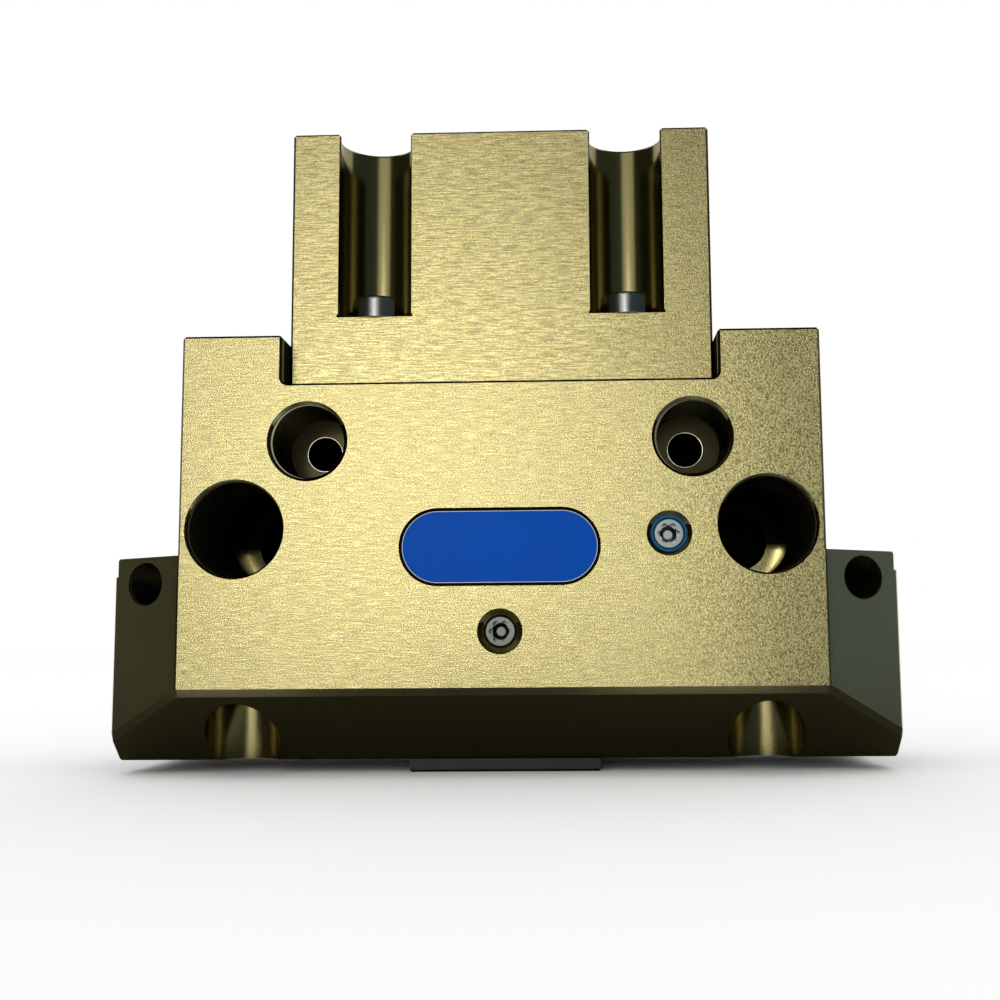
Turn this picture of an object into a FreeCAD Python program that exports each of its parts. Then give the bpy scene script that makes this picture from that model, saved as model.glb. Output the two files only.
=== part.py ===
import FreeCAD, Part

import math
import os

from FreeCAD import Vector

# Two-jaw parallel gripper: an air piston and a wedge hook slide the jaws, and springs hold them closed.
# Millimetres. The origin is the middle of the mounting face on the housing's shoulders.
# +Z points away from the jaws, the jaws slide along X, and the front face looks along -Y.
# The model is drawn with the jaws closed and the piston up.

# Housing outline
body_width = 100.0
body_depth = 50.0
guide_width = 125.0
guide_height = 32.3
wing_end_land = 3.8
wing_step_height = 2.9
wing_step = 0.6
jaw_bevel = 11.0
slope_break = 0.7
facet_break = 0.9
edge_break = 0.3
outline_break = 0.4
mouth_break = 0.45

# Drive, from the mounting face down to the jaw face
jaw_stroke = 10.0
wedge_ratio = 0.8
notch_depth = 7.75
spigot_length = 5.0
piston_top_gap = 0.45
piston_thickness = 9.0
piston_floor_gap = 0.3
rod_wall = 6.2
hook_top_gap = 0.3
hook_height = 12.0
hook_floor_gap = 1.0

# Jaw slot and jaws
slot_height = 23.0
slot_neck_width = 13.6
slot_neck_height = 9.0
slot_flange_width = 20.0
jaw_gap = 0.1
jaw_inner_x = 5.0
jaw_end_inset = 0.5
jaw_end_break = 0.8
finger_hole_d = 5.0
finger_hole_depth = 13.0
finger_hole_inset = 14.0
finger_hole_spacing = 20.0
finger_sleeve_d = 8.0
finger_sleeve_depth = 2.5
cam_hole_d = 3.3
cam_hole_depth = 8.0

# Wedge hook, with a T-shaped key on each slanted flank
hook_side_gap = 0.2
flank_gap = 0.15
key_neck_width = 4.8
key_neck_length = 3.0
key_head_width = 8.8
key_head_length = 3.5
rod_d = 12.0
rod_spigot_length = 1.5

# Cylinder and piston
cylinder_d = 35.0
piston_gap = 0.1
piston_seal_section = 3.0
piston_guide_height = 2.6
piston_guide_thickness = 1.4
ring_side_gap = 0.1
fit_gap = 0.02
running_gap = 0.05

# Pull rod between the piston and the spring plate
pull_rod_d = 10.0
pull_rod_collar_land = 1.0
pull_rod_collar_height = 3.0
stud_d = 8.0
stud_length = 12.0
stud_seal_section = 1.0

# Rod seals and bushes
rod_seal_height = 3.0
rod_seal_wall = 3.0
rod_bush_wall = 2.0

# Spring housing
block_width = 68.0
block_depth = 41.0
block_rise = 35.0
block_gap = 0.2
notch_fillet = 1.0
flange_top = 4.0
spring_floor_drop = 0.75
spring_bore_d = 32.0
collar_room = 0.5
spigot_seal_section = 2.0
spigot_seal_drop = 1.2

# Spring housing screws, low head M5
block_screw_x = 20.4
block_screw_inset = 3.5
block_screw_d = 5.0
block_screw_head_d = 8.5
block_screw_head_height = 3.5
block_screw_head_round = 0.6
block_screw_engagement = 12.0
block_screw_hole_gap = 0.25
block_screw_key = 3.0
groove_offset = 0.9
groove_room = 1.0
spot_face_room = 0.55
spot_face_depth = 0.5

# Spring chamber cap
cap_ledge = 1.0
cap_thickness = 2.5
cap_seal_section = 1.3
ring_thickness = 1.2
ring_depth = 1.1
ring_width = 2.6
ring_opening = 40.0
cap_rim = 0.8
filter_d = 6.0
cap_gap = 0.1

# Springs and spring plate
plate_thickness = 5.0
plate_side_gap = 0.6
plate_top_gap = 0.75
plate_socket_depth = 1.5
outer_spring_wire = 2.4
outer_spring_half_turns = 9
inner_spring_wire = 2.0
inner_spring_half_turns = 11
spring_side_gap = 1.0
spring_nest_gap = 2.1
spring_seat_gap = 0.05
plate_screw_d = 6.0
plate_screw_length = 14.0
plate_screw_key = 4.0

# Air ports on the front face
port_x = 30.0
port_drop = 17.0
port_d = 11.8
port_depth = 13.0
port_inner_d = 5.7
port_inner_depth = 28.0
air_hole_d = 4.0
air_hole_overlap = 2.0

# Mounting holes
side_bore_inset = 8.75
side_bore_drop = 30.7
side_bore_d = 15.0
side_bore_depth = 33.5
side_bore_inner_d = 10.4
side_bore_web = 2.0
drill_point_angle = 118.0
bolt_bore_d = 12.0
bolt_bore_inset = 7.6
bolt_bore_top_cover = 1.0
mount_thread_d = 6.8
wing_hole_inset = 6.25
wing_hole_height = 28.1
wing_hole_d = 6.8

# Nameplate, sealing plugs and cover plate
label_width = 31.2
label_height = 12.1
label_level = 33.2
label_recess = 0.7
label_thickness = 0.5
label_gap = 0.5
plug_d = 5.0
plug_length = 8.0
plug_sink = 0.95
plug_hole_gap = 0.05
plug_socket_d = 2.6
plug_lobe_d = 0.9
plug_socket_depth = 1.8
plug_socket_point = 0.5
plug_socket_tip_d = 1.4
feed_plug_x = 26.1
feed_plug_level = 3.0
feed_hole_depth = 16.0
grease_plug_level = 20.2
cover_width = 30.7
cover_thickness = 2.1
cover_break = 0.4
cover_screw_end_inset = 4.85
cover_screw_side_inset = 3.6
cover_screw_d = 3.0
cover_screw_length = 7.0
cover_screw_key = 2.0

# Levels worked out from the sizes above
stroke = jaw_stroke / wedge_ratio
notch_z = -notch_depth
spigot_z = notch_z - spigot_length
piston_top_z = spigot_z - piston_top_gap
piston_z = piston_top_z - piston_thickness
cylinder_z = piston_z - stroke - piston_floor_gap
pocket_z = cylinder_z - rod_wall
hook_top_z = pocket_z - hook_top_gap
hook_z = hook_top_z - hook_height
jaw_face_z = hook_z - stroke - hook_floor_gap
slot_roof_z = jaw_face_z + slot_height
slot_step_z = jaw_face_z + slot_neck_height
wall_z = max(pocket_z, slot_roof_z)
seal_floor_z = cylinder_z - rod_seal_height
slope_z = jaw_face_z + jaw_bevel
wing_z = jaw_face_z + guide_height
cover_z = jaw_face_z - cover_thickness
port_z = -port_drop
side_bore_z = -side_bore_drop
feed_plug_z = cylinder_z + feed_plug_level
grease_plug_z = jaw_face_z + grease_plug_level
spring_floor_z = -spring_floor_drop
upper_seal_z = spigot_z + pull_rod_collar_height + collar_room
upper_bush_z = upper_seal_z + rod_seal_height
ring_top_z = block_rise - cap_rim
cap_top_z = ring_top_z - ring_thickness
cap_z = cap_top_z - cap_thickness
plate_top_z = cap_z - plate_top_gap
plate_z = plate_top_z - plate_thickness
pull_rod_top_z = plate_z + plate_socket_depth

# Half widths and radii worked out from the sizes above
half_body = body_width / 2
half_depth = body_depth / 2
half_guide = guide_width / 2
half_block = block_width / 2
half_block_depth = block_depth / 2
half_notch = half_block + block_gap
wing_fall = jaw_bevel - wing_end_land
wing_angle = math.atan2(wing_fall, half_guide - half_body)
bolt_bore_y = half_depth - bolt_bore_inset
wing_hole_x = half_guide - wing_hole_inset
jaw_end_x = half_guide - jaw_end_inset
hook_half_depth = slot_neck_width / 2 - hook_side_gap
cap_seat_r = spring_bore_d / 2 + cap_ledge
cylinder_r = cylinder_d / 2
piston_r = cylinder_r - piston_gap
stud_seat_d = stud_d + 4 * stud_seal_section
pull_rod_collar_d = stud_seat_d + 2 * pull_rod_collar_land
lower_seal_d = rod_d + 2 * rod_seal_wall
lower_bush_d = rod_d + 2 * rod_bush_wall
upper_seal_d = pull_rod_d + 2 * rod_seal_wall
upper_bush_d = pull_rod_d + 2 * rod_bush_wall
block_screw_y = half_block_depth - block_screw_inset
groove_y = block_screw_y + groove_offset
groove_d = block_screw_head_d + 2 * (groove_offset + groove_room)
spot_face_d = groove_d + 2 * spot_face_room
outer_spring_d = spring_bore_d - 2 * spring_side_gap - outer_spring_wire
inner_spring_d = outer_spring_d - outer_spring_wire - 2 * spring_nest_gap - inner_spring_wire
plate_d = spring_bore_d - 2 * plate_side_gap
side_bore_x = half_body - side_bore_inset
plug_hole_d = plug_d + 2 * plug_hole_gap
cover_depth = body_depth - 2 * jaw_bevel
cover_screw_x = cover_width / 2 - cover_screw_end_inset
cover_screw_y = cover_depth / 2 - cover_screw_side_inset
beyond = 1.0

SIDES = (-1, 1)
CORNERS = [(sx, sy) for sx in SIDES for sy in SIDES]
AXIS_X = Vector(1, 0, 0)
AXIS_Y = Vector(0, 1, 0)
AXIS_Z = Vector(0, 0, 1)


def block(x0, x1, y0, y1, z0, z1):
    """A box between two corners."""
    return Part.makeBox(x1 - x0, y1 - y0, z1 - z0, Vector(x0, y0, z0))


def prism(points, run):
    """A closed outline pushed along the vector run."""
    return Part.Face(Part.makePolygon(points + points[:1])).extrude(run)


def post(x, y, z0, z1, d):
    """A cylinder standing along Z."""
    return Part.makeCylinder(d / 2, z1 - z0, Vector(x, y, z0), AXIS_Z)


def bar(x, z, y0, y1, d):
    """A cylinder lying along Y."""
    return Part.makeCylinder(d / 2, y1 - y0, Vector(x, y0, z), AXIS_Y)


def taper(base, d0, d1, run):
    """A cone frustum from diameter d0 at base to d1 at the end of the vector run."""
    return Part.makeCone(d0 / 2, d1 / 2, run.Length, base, run)


def drilling(start, end, d):
    """A straight hole between two points."""
    run = end - start
    return Part.makeCylinder(d / 2, run.Length, start, run)


def tube(z0, z1, inner_d, outer_d):
    """A plain ring on the Z axis."""
    return post(0, 0, z0, z1, outer_d).cut(post(0, 0, z0 - beyond, z1 + beyond, inner_d))


def o_ring(z, inner_d, outer_d):
    """A round-section ring on the Z axis that lies between two diameters."""
    section = (outer_d - inner_d) / 4
    return Part.makeTorus((outer_d + inner_d) / 4, section, Vector(0, 0, z), AXIS_Z)


def hexagon(x, y, z0, z1, flats):
    """A hexagonal bar along Z, sized across its flats."""
    r = flats / math.sqrt(3)
    angles = [math.radians(60 * i) for i in range(6)]
    points = [Vector(x + r * math.cos(a), y + r * math.sin(a), z0) for a in angles]
    return prism(points, Vector(0, 0, z1 - z0))


def parallel_to(edge, axis):
    """True for a straight edge along the axis."""
    span = edge.Vertexes[-1].Point - edge.Vertexes[0].Point
    return span.cross(axis).Length < 1e-6


def broken(shape, size, chosen):
    """The shape with the chosen edges chamfered."""
    return shape.makeChamfer(size, [e for e in shape.Edges if chosen(e)])


def rims(edge):
    """True for a full circle."""
    return len(edge.Vertexes) == 1


def near(a, b):
    """True where two levels are the same."""
    return abs(a - b) < 1e-6


def at_level(z):
    """A test for edges that lie at the height z."""
    return lambda e: all(near(v.Z, z) for v in e.Vertexes)


def in_depth(half):
    """A test for edges that lie in the front plane or in the back plane."""
    return lambda e: all(near(abs(v.Y), half) for v in e.Vertexes)


def across(points):
    """An outline in the Y-Z plane at X = 0, as vectors."""
    return [Vector(0, y, z) for y, z in points]


def mirrored(half):
    """Outline points on +Y, followed by their mirror images on -Y."""
    return half + [(-y, z) for y, z in reversed(half)]


def slot_profile(gap):
    """The T-shaped section of the jaw slot, made smaller all round by the gap."""
    neck = slot_neck_width / 2 - gap
    flange = slot_flange_width / 2 - gap
    return mirrored([
        (neck, jaw_face_z + gap),
        (neck, slot_step_z + gap),
        (flange, slot_step_z + gap),
        (flange, slot_roof_z - gap),
    ])


def flank_x(z):
    """Where the slanted inner end of the right jaw lies at the height z."""
    return jaw_inner_x + wedge_ratio * (z - jaw_face_z)


def slanted(offset0, offset1, z0, z1, half_width):
    """A slab along the right flank, between two distances from it along X."""
    points = [
        Vector(flank_x(z0) + offset0, -half_width, z0),
        Vector(flank_x(z0) + offset1, -half_width, z0),
        Vector(flank_x(z1) + offset1, -half_width, z1),
        Vector(flank_x(z1) + offset0, -half_width, z1),
    ]
    return prism(points, Vector(0, 2 * half_width, 0))


def both_sides(shape):
    """A right-hand shape and its mirror image on the left."""
    return [shape, shape.mirror(Vector(0, 0, 0), AXIS_X)]


def guide_outline():
    """Plan of the wide lower part, with a narrow facet between the front and each wing."""
    corner_x = half_body + facet_break * math.cos(wing_angle)
    corner_y = half_depth - facet_break * math.sin(wing_angle)
    right = [
        (half_body - edge_break, half_depth),
        (corner_x, corner_y),
        (half_guide, half_depth - wing_fall),
    ]
    quarter_turns = [
        [(x, -y) for x, y in right],
        [(x, y) for x, y in reversed(right)],
        [(-x, y) for x, y in right],
        [(-x, -y) for x, y in reversed(right)],
    ]
    return [Vector(x, y, jaw_face_z) for part in quarter_turns for x, y in part]


def sloped_section():
    """Section of the body with the 45 degree slopes towards the jaw face."""
    return across(mirrored([(half_depth, 0), (half_depth, slope_z), (half_depth - jaw_bevel, jaw_face_z)]))


def tops_slope(edge):
    """True for the edges in which a 45 degree slope ends at the front, the back or a wing."""
    on_slope = all(near(half_depth - abs(v.Y), slope_z - v.Z) for v in edge.Vertexes)
    return on_slope and not at_level(jaw_face_z)(edge) and not in_end(edge)


def in_end(edge):
    """True for the edges that start and end in the two end faces."""
    return all(near(abs(v.X), half_guide) for v in edge.Vertexes)


def guide_solid():
    """Lower part of the housing with its two side wings."""
    plan = prism(guide_outline(), Vector(0, 0, guide_height))
    section = prism(sloped_section(), AXIS_X * guide_width)
    section.translate(Vector(-half_guide, 0, 0))
    guide = plan.common(section)
    guide = broken(broken(guide, slope_break, tops_slope), edge_break, in_end)
    step_x = half_guide - wing_step
    step = [
        Vector(half_guide + beyond, -half_depth, wing_z - wing_step_height),
        Vector(step_x, -half_depth, wing_z - wing_step_height),
        Vector(step_x, -half_depth, wing_z - edge_break),
        Vector(step_x - edge_break - beyond, -half_depth, wing_z + beyond),
        Vector(half_guide + beyond, -half_depth, wing_z + beyond),
    ]
    return guide.cut(both_sides(prism(step, Vector(0, body_depth, 0))))


def upper_solid():
    """Upper part of the housing with the notch between its shoulders, all outer edges broken."""
    shape = block(-half_body, half_body, -half_depth, half_depth, wing_z, 0)
    room = block(-half_notch, half_notch, -half_depth - beyond, half_depth + beyond, notch_z, beyond)
    floor_edges = [e for e in room.Edges if at_level(notch_z)(e) and parallel_to(e, AXIS_Y)]
    shape = shape.cut(room.makeFillet(notch_fillet, floor_edges))
    return broken(shape, outline_break, lambda e: at_level(0)(e)
                  or in_depth(half_depth)(e) and not at_level(wing_z)(e))


def front_mouth(x, z, d, size):
    """Chamfer cutter for a round hole in the front face."""
    return taper(Vector(x, -half_depth, z), d + 2 * size, d, Vector(0, size, 0))


def drive_room():
    """Cylinder, seal pocket, bush bore, hook pocket and jaw slot inside the housing."""
    slot = prism(across(slot_profile(0)), AXIS_X * (guide_width + 2 * beyond))
    slot.translate(Vector(-half_guide - beyond, 0, 0))
    neck = slot_neck_width / 2
    pocket_x = flank_x(hook_top_z) + key_neck_length + key_head_length + hook_top_gap
    return [
        post(0, 0, cylinder_z, notch_z + beyond, cylinder_d),
        taper(Vector(0, 0, notch_z), cylinder_d + 2 * edge_break, cylinder_d, Vector(0, 0, -edge_break)),
        post(0, 0, seal_floor_z, cylinder_z + beyond, lower_seal_d),
        post(0, 0, wall_z - beyond, cylinder_z, lower_bush_d),
        block(-pocket_x, pocket_x, -neck, neck, jaw_face_z + slot_neck_height, pocket_z),
        slot,
    ]


def port_holes():
    """Two air ports with their drillings to the two ends of the cylinder."""
    holes = []
    ends = {-1: cylinder_z + air_hole_d / 2, 1: spigot_z + (spigot_seal_drop - air_hole_d) / 2}
    for side in SIDES:
        x = side * port_x
        inner_y = port_inner_depth - half_depth
        start = Vector(x, inner_y - port_inner_d / 2, port_z)
        end = Vector(side * (cylinder_r - air_hole_overlap), start.y, ends[side])
        holes += [
            bar(x, port_z, -half_depth - beyond, port_depth - half_depth, port_d),
            bar(x, port_z, -half_depth, inner_y, port_inner_d),
            front_mouth(x, port_z, port_d, mouth_break),
            drilling(start, end, air_hole_d),
        ]
    return holes


def mounting_holes():
    """Side bores, long bolt bores, shoulder threads and wing threads."""
    holes = []
    point = side_bore_inner_d / 2 / math.tan(math.radians(drill_point_angle / 2))
    point_y = half_depth - side_bore_web - point
    for side in SIDES:
        x = side * side_bore_x
        wing_x = side * wing_hole_x
        holes += [
            bar(x, side_bore_z, -half_depth - beyond, side_bore_depth - half_depth, side_bore_d),
            bar(x, side_bore_z, -half_depth, point_y, side_bore_inner_d),
            taper(Vector(x, point_y, side_bore_z), side_bore_inner_d, 0, Vector(0, point, 0)),
            front_mouth(x, side_bore_z, side_bore_d, edge_break),
            bar(wing_x, jaw_face_z + wing_hole_height, -half_depth, half_depth, wing_hole_d),
        ]
    seat_z = side_bore_z + side_bore_d / 2 + bolt_bore_top_cover
    mouth_d = mount_thread_d + 2 * mouth_break
    for sx, sy in CORNERS:
        x = sx * side_bore_x
        y = sy * bolt_bore_y
        holes += [
            post(x, y, jaw_face_z - beyond, seat_z, bolt_bore_d),
            post(x, y, seat_z - beyond, beyond, mount_thread_d),
            taper(Vector(x, y, 0), mouth_d, mount_thread_d, Vector(0, 0, -mouth_break)),
        ]
    return holes


def screw_holes():
    """Threads for the spring housing and the cover plate."""
    screw_z = notch_z - block_screw_engagement - beyond
    hole_d = block_screw_d + 2 * running_gap
    cover_hole_d = cover_screw_d + 2 * running_gap
    cover_hole_z = cover_z + cover_screw_length + beyond
    holes = []
    for sx, sy in CORNERS:
        holes += [
            post(sx * block_screw_x, sy * block_screw_y, screw_z, notch_z + beyond, hole_d),
            post(sx * cover_screw_x, sy * cover_screw_y, jaw_face_z - beyond, cover_hole_z, cover_hole_d),
        ]
    return holes


def plug_holes():
    """Two tapped holes for sealing plugs, the first one to the cylinder, the second to the jaw slot."""
    feed_y = feed_hole_depth - half_depth
    grease_y = -slot_flange_width / 2 + beyond
    start = Vector(feed_plug_x, feed_y - plug_hole_d / 2, feed_plug_z)
    end = Vector(0, start.y, feed_plug_z)
    return [
        bar(feed_plug_x, feed_plug_z, -half_depth - beyond, feed_y, plug_hole_d),
        front_mouth(feed_plug_x, feed_plug_z, plug_hole_d, plug_sink),
        drilling(start, end, air_hole_d),
        bar(0, grease_plug_z, -half_depth - beyond, grease_y, plug_hole_d),
        front_mouth(0, grease_plug_z, plug_hole_d, plug_sink),
    ]


def obround(width, height, y, z, thickness):
    """A flat plate with round ends, its front at y, pushed towards +Y."""
    r = height / 2
    reach = width / 2 - r
    ends = [bar(side * reach, z, y, y + thickness, height) for side in SIDES]
    return ends[0].fuse([block(-reach, reach, y, y + thickness, z - r, z + r), ends[1]]).removeSplitter()


def housing():
    """Main aluminium body."""
    label_z = jaw_face_z + label_level
    recess = obround(label_width, label_height, -half_depth - beyond, label_z, label_recess + beyond)
    cuts = drive_room() + port_holes() + mounting_holes() + screw_holes() + plug_holes() + [recess]
    return guide_solid().fuse(upper_solid()).removeSplitter().cut(cuts)


def nameplate():
    """Blank plate in the obround recess of the front face."""
    y = label_recess - half_depth - label_thickness
    return obround(label_width - 2 * label_gap, label_height - 2 * label_gap, y,
                   jaw_face_z + label_level, label_thickness)


def sealing_plug(x, z):
    """Set screw with a six-lobed socket, below the front face."""
    y = plug_sink - half_depth
    lobe_x = plug_socket_d / 2
    body = broken(bar(x, z, y, y + plug_length, plug_d), edge_break, rims)
    floor_y = y + plug_socket_depth
    lobes = []
    for i in range(6):
        turn = math.radians(60 * i)
        lobes.append(bar(x + lobe_x * math.cos(turn), z + lobe_x * math.sin(turn),
                         y - beyond, floor_y, plug_lobe_d))
    point = taper(Vector(x, floor_y, z), plug_socket_d, plug_socket_tip_d, Vector(0, plug_socket_point, 0))
    return body.cut([bar(x, z, y - beyond, floor_y, plug_socket_d), point] + lobes)


def cover_plate():
    """Dark plate over the middle of the jaw slot."""
    half_width = cover_width / 2
    plate = block(-half_width, half_width, -cover_depth / 2, cover_depth / 2, cover_z, jaw_face_z)
    plate = broken(plate, cover_break, at_level(cover_z))
    head_d = 2 * cover_screw_d
    clear_d = cover_screw_d + 2 * running_gap
    cuts = []
    for sx, sy in CORNERS:
        foot = Vector(sx * cover_screw_x, sy * cover_screw_y, cover_z)
        cuts.append(post(foot.x, foot.y, cover_z - beyond, jaw_face_z + beyond, clear_d))
        cuts.append(taper(foot, head_d + 2 * running_gap, clear_d, Vector(0, 0, cover_screw_d / 2)))
    return plate.cut(cuts)


def cover_plate_screws():
    """Four countersunk screws, heads towards the jaws' side."""
    screws = []
    for sx, sy in CORNERS:
        x = sx * cover_screw_x
        y = sy * cover_screw_y
        head = taper(Vector(x, y, cover_z), 2 * cover_screw_d, cover_screw_d, Vector(0, 0, cover_screw_d / 2))
        shank = post(x, y, cover_z, cover_z + cover_screw_length, cover_screw_d)
        key = hexagon(x, y, cover_z - beyond, cover_z + cover_screw_d / 2, cover_screw_key)
        screws.append(head.fuse(shank).removeSplitter().cut(key))
    return Part.makeCompound(screws)


def right_base_jaw():
    """Hardened jaw that slides in the T slot, with a slanted key slot at its inner end."""
    jaw_z = jaw_face_z + jaw_gap
    jaw_top_z = slot_roof_z - jaw_gap
    jaw = prism(across(slot_profile(jaw_gap)), AXIS_X * jaw_end_x)
    jaw = broken(jaw, jaw_end_break, lambda e: all(near(v.X, jaw_end_x) for v in e.Vertexes)
                 and not near(e.Vertexes[0].Z, slot_step_z + jaw_gap)
                 and not near(e.Vertexes[-1].Z, slot_step_z + jaw_gap))
    low_z = jaw_z - beyond
    high_z = jaw_top_z + beyond
    head_start = key_neck_length - 2 * flank_gap
    head_end = key_neck_length + key_head_length
    cuts = [
        slanted(-guide_width, 0, low_z, high_z, half_depth),
        slanted(-beyond, head_end, low_z, high_z, key_neck_width / 2 + flank_gap),
        slanted(head_start, head_end, low_z, high_z, key_head_width / 2 + flank_gap),
        Part.makeCylinder(cam_hole_d / 2, cam_hole_depth + beyond,
                          Vector(jaw_end_x - cam_hole_depth, 0, (slot_step_z + slot_roof_z) / 2), AXIS_X),
    ]
    for i in range(2):
        x = jaw_end_x - finger_hole_inset - i * finger_hole_spacing
        cuts.append(post(x, 0, low_z, jaw_z + finger_hole_depth, finger_hole_d))
        cuts.append(post(x, 0, low_z, jaw_z + finger_sleeve_depth, finger_sleeve_d))
    return jaw.cut(cuts)


def wedge_hook():
    """Steel hook between the jaws, with its rod up to the piston."""
    half_low = flank_x(hook_z) - flank_gap
    half_high = flank_x(hook_top_z) - flank_gap
    outline = [
        Vector(-half_low, -hook_half_depth, hook_z),
        Vector(half_low, -hook_half_depth, hook_z),
        Vector(half_high, -hook_half_depth, hook_top_z),
        Vector(-half_high, -hook_half_depth, hook_top_z),
    ]
    body = prism(outline, Vector(0, 2 * hook_half_depth, 0))
    head_start = key_neck_length - flank_gap
    head_end = head_start + key_head_length
    neck = slanted(-beyond, head_end, hook_z, hook_top_z, key_neck_width / 2)
    head = slanted(head_start, head_end, hook_z, hook_top_z, key_head_width / 2)
    rod_top_z = piston_z + rod_spigot_length
    rod = broken(post(0, 0, hook_top_z - beyond, rod_top_z, rod_d), edge_break, at_level(rod_top_z))
    thread = post(0, 0, piston_z - stud_length - beyond, rod_top_z + beyond, stud_d + 2 * running_gap)
    return body.fuse(both_sides(neck) + both_sides(head) + [rod]).removeSplitter().cut(thread)


def seal_groove_z():
    """Lower edge of the piston's seal groove, below the middle of its guide strip."""
    land = (piston_thickness - piston_seal_section - piston_guide_height) / 3
    return piston_z + land


def guide_groove_z():
    """Lower edge of the piston's guide strip groove."""
    land = seal_groove_z() - piston_z
    return piston_top_z - land - piston_guide_height


def piston():
    """Round aluminium piston with grooves for its seal and guide strip."""
    body = broken(post(0, 0, piston_z, piston_top_z, 2 * piston_r), edge_break, rims)
    seal_z = seal_groove_z()
    guide_z = guide_groove_z()
    seal_bottom_d = cylinder_d - 2 * piston_seal_section
    guide_bottom_d = cylinder_d - 2 * piston_guide_thickness - 2 * running_gap
    cuts = [
        tube(seal_z, seal_z + piston_seal_section, seal_bottom_d, cylinder_d + beyond),
        tube(guide_z, guide_z + piston_guide_height, guide_bottom_d, cylinder_d + beyond),
        post(0, 0, piston_z - beyond, piston_top_z + beyond, stud_d + 2 * running_gap),
        post(0, 0, piston_z - beyond, piston_z + rod_spigot_length, rod_d + 2 * fit_gap),
        post(0, 0, piston_top_z - stud_seal_section, piston_top_z + beyond, stud_seat_d),
    ]
    return body.cut(cuts)


def piston_seal():
    """Lip ring with a V groove on its pressure side."""
    inner = cylinder_r - piston_seal_section + fit_gap
    outer = cylinder_r - running_gap
    z0 = seal_groove_z() + ring_side_gap
    z1 = z0 + piston_seal_section - 2 * ring_side_gap
    middle = (inner + outer) / 2
    lip = (outer - inner) / 5
    points = [
        Vector(inner, 0, z0 + lip),
        Vector(inner + lip, 0, z0),
        Vector(middle, 0, z0 + 2 * lip),
        Vector(outer - lip, 0, z0),
        Vector(outer, 0, z0 + lip),
        Vector(outer, 0, z1),
        Vector(inner, 0, z1),
    ]
    face = Part.Face(Part.makePolygon(points + points[:1]))
    return face.revolve(Vector(0, 0, 0), AXIS_Z, 360)


def piston_guide_ring():
    """Flat guide strip, cut through on one side."""
    z0 = guide_groove_z() + ring_side_gap
    z1 = z0 + piston_guide_height - 2 * ring_side_gap
    inner_d = cylinder_d - 2 * piston_guide_thickness
    ring = tube(z0, z1, inner_d, cylinder_d - 2 * running_gap)
    return ring.cut(block(0, cylinder_d, -running_gap, running_gap, z0 - beyond, z1 + beyond))


def stud_seal():
    """Ring under the collar of the pull rod."""
    z = piston_top_z - stud_seal_section / 2
    inner_d = stud_d + 2 * stud_seal_section
    return o_ring(z, inner_d, inner_d + 2 * (stud_seal_section - ring_side_gap))


def pull_rod():
    """Rod that clamps the piston to the hook and carries the spring plate."""
    collar_top_z = piston_top_z + pull_rod_collar_height
    collar = post(0, 0, piston_top_z, collar_top_z, pull_rod_collar_d)
    collar = broken(collar, edge_break, at_level(collar_top_z))
    rod = broken(post(0, 0, piston_top_z, pull_rod_top_z, pull_rod_d), edge_break, at_level(pull_rod_top_z))
    stud_z = piston_z - stud_length
    stud = broken(post(0, 0, stud_z, collar_top_z, stud_d), edge_break, at_level(stud_z))
    thread_z = plate_top_z - plate_screw_length - beyond
    thread = post(0, 0, thread_z, pull_rod_top_z + beyond, plate_screw_d + 2 * running_gap)
    return collar.fuse([rod, stud]).removeSplitter().cut(thread)


def spring_plate():
    """Disc that the springs push on."""
    plate = broken(post(0, 0, plate_z, plate_top_z, plate_d), edge_break, rims)
    clear_d = plate_screw_d + 2 * running_gap
    sink = Vector(0, 0, -plate_screw_d / 2)
    cuts = [
        post(0, 0, plate_z - beyond, plate_z + plate_socket_depth, pull_rod_d + 2 * fit_gap),
        post(0, 0, plate_z, plate_top_z + beyond, clear_d),
        taper(Vector(0, 0, plate_top_z), 2 * clear_d, clear_d, sink),
    ]
    return plate.cut(cuts)


def spring_plate_screw():
    """Countersunk screw through the spring plate into the pull rod."""
    sink = Vector(0, 0, -plate_screw_d / 2)
    head = taper(Vector(0, 0, plate_top_z), 2 * plate_screw_d, plate_screw_d, sink)
    shank = post(0, 0, plate_top_z - plate_screw_length, plate_top_z, plate_screw_d)
    key = hexagon(0, 0, plate_top_z - plate_screw_d / 2, plate_top_z + beyond, plate_screw_key)
    return head.fuse(shank).removeSplitter().cut(key)


def coil_spring(mean_d, wire, half_turns):
    """Compression spring with ground ends, swept along half circles that tilt to and fro."""
    seat_z = spring_floor_z + spring_seat_gap
    top_z = plate_z - spring_seat_gap
    first_z = seat_z + wire / 4
    rise = (top_z - seat_z - wire / 2) / half_turns
    r = mean_d / 2
    arcs = []
    for i in range(int(half_turns)):
        side = 1 if i % 2 == 0 else -1
        z = first_z + i * rise
        start = Vector(side * r, 0, z)
        middle = Vector(0, side * math.hypot(r, rise / 2), z + rise / 2)
        end = Vector(-side * r, 0, z + rise)
        arcs.append(Part.Arc(start, middle, end).toShape())
    section = Part.Wire(Part.makeCircle(wire / 2, Vector(r, 0, first_z), AXIS_Y))
    coil = Part.Wire(arcs).makePipeShell([section], True, False)
    reach = mean_d + 2 * wire
    return coil.common(post(0, 0, seat_z, top_z, reach))


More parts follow.
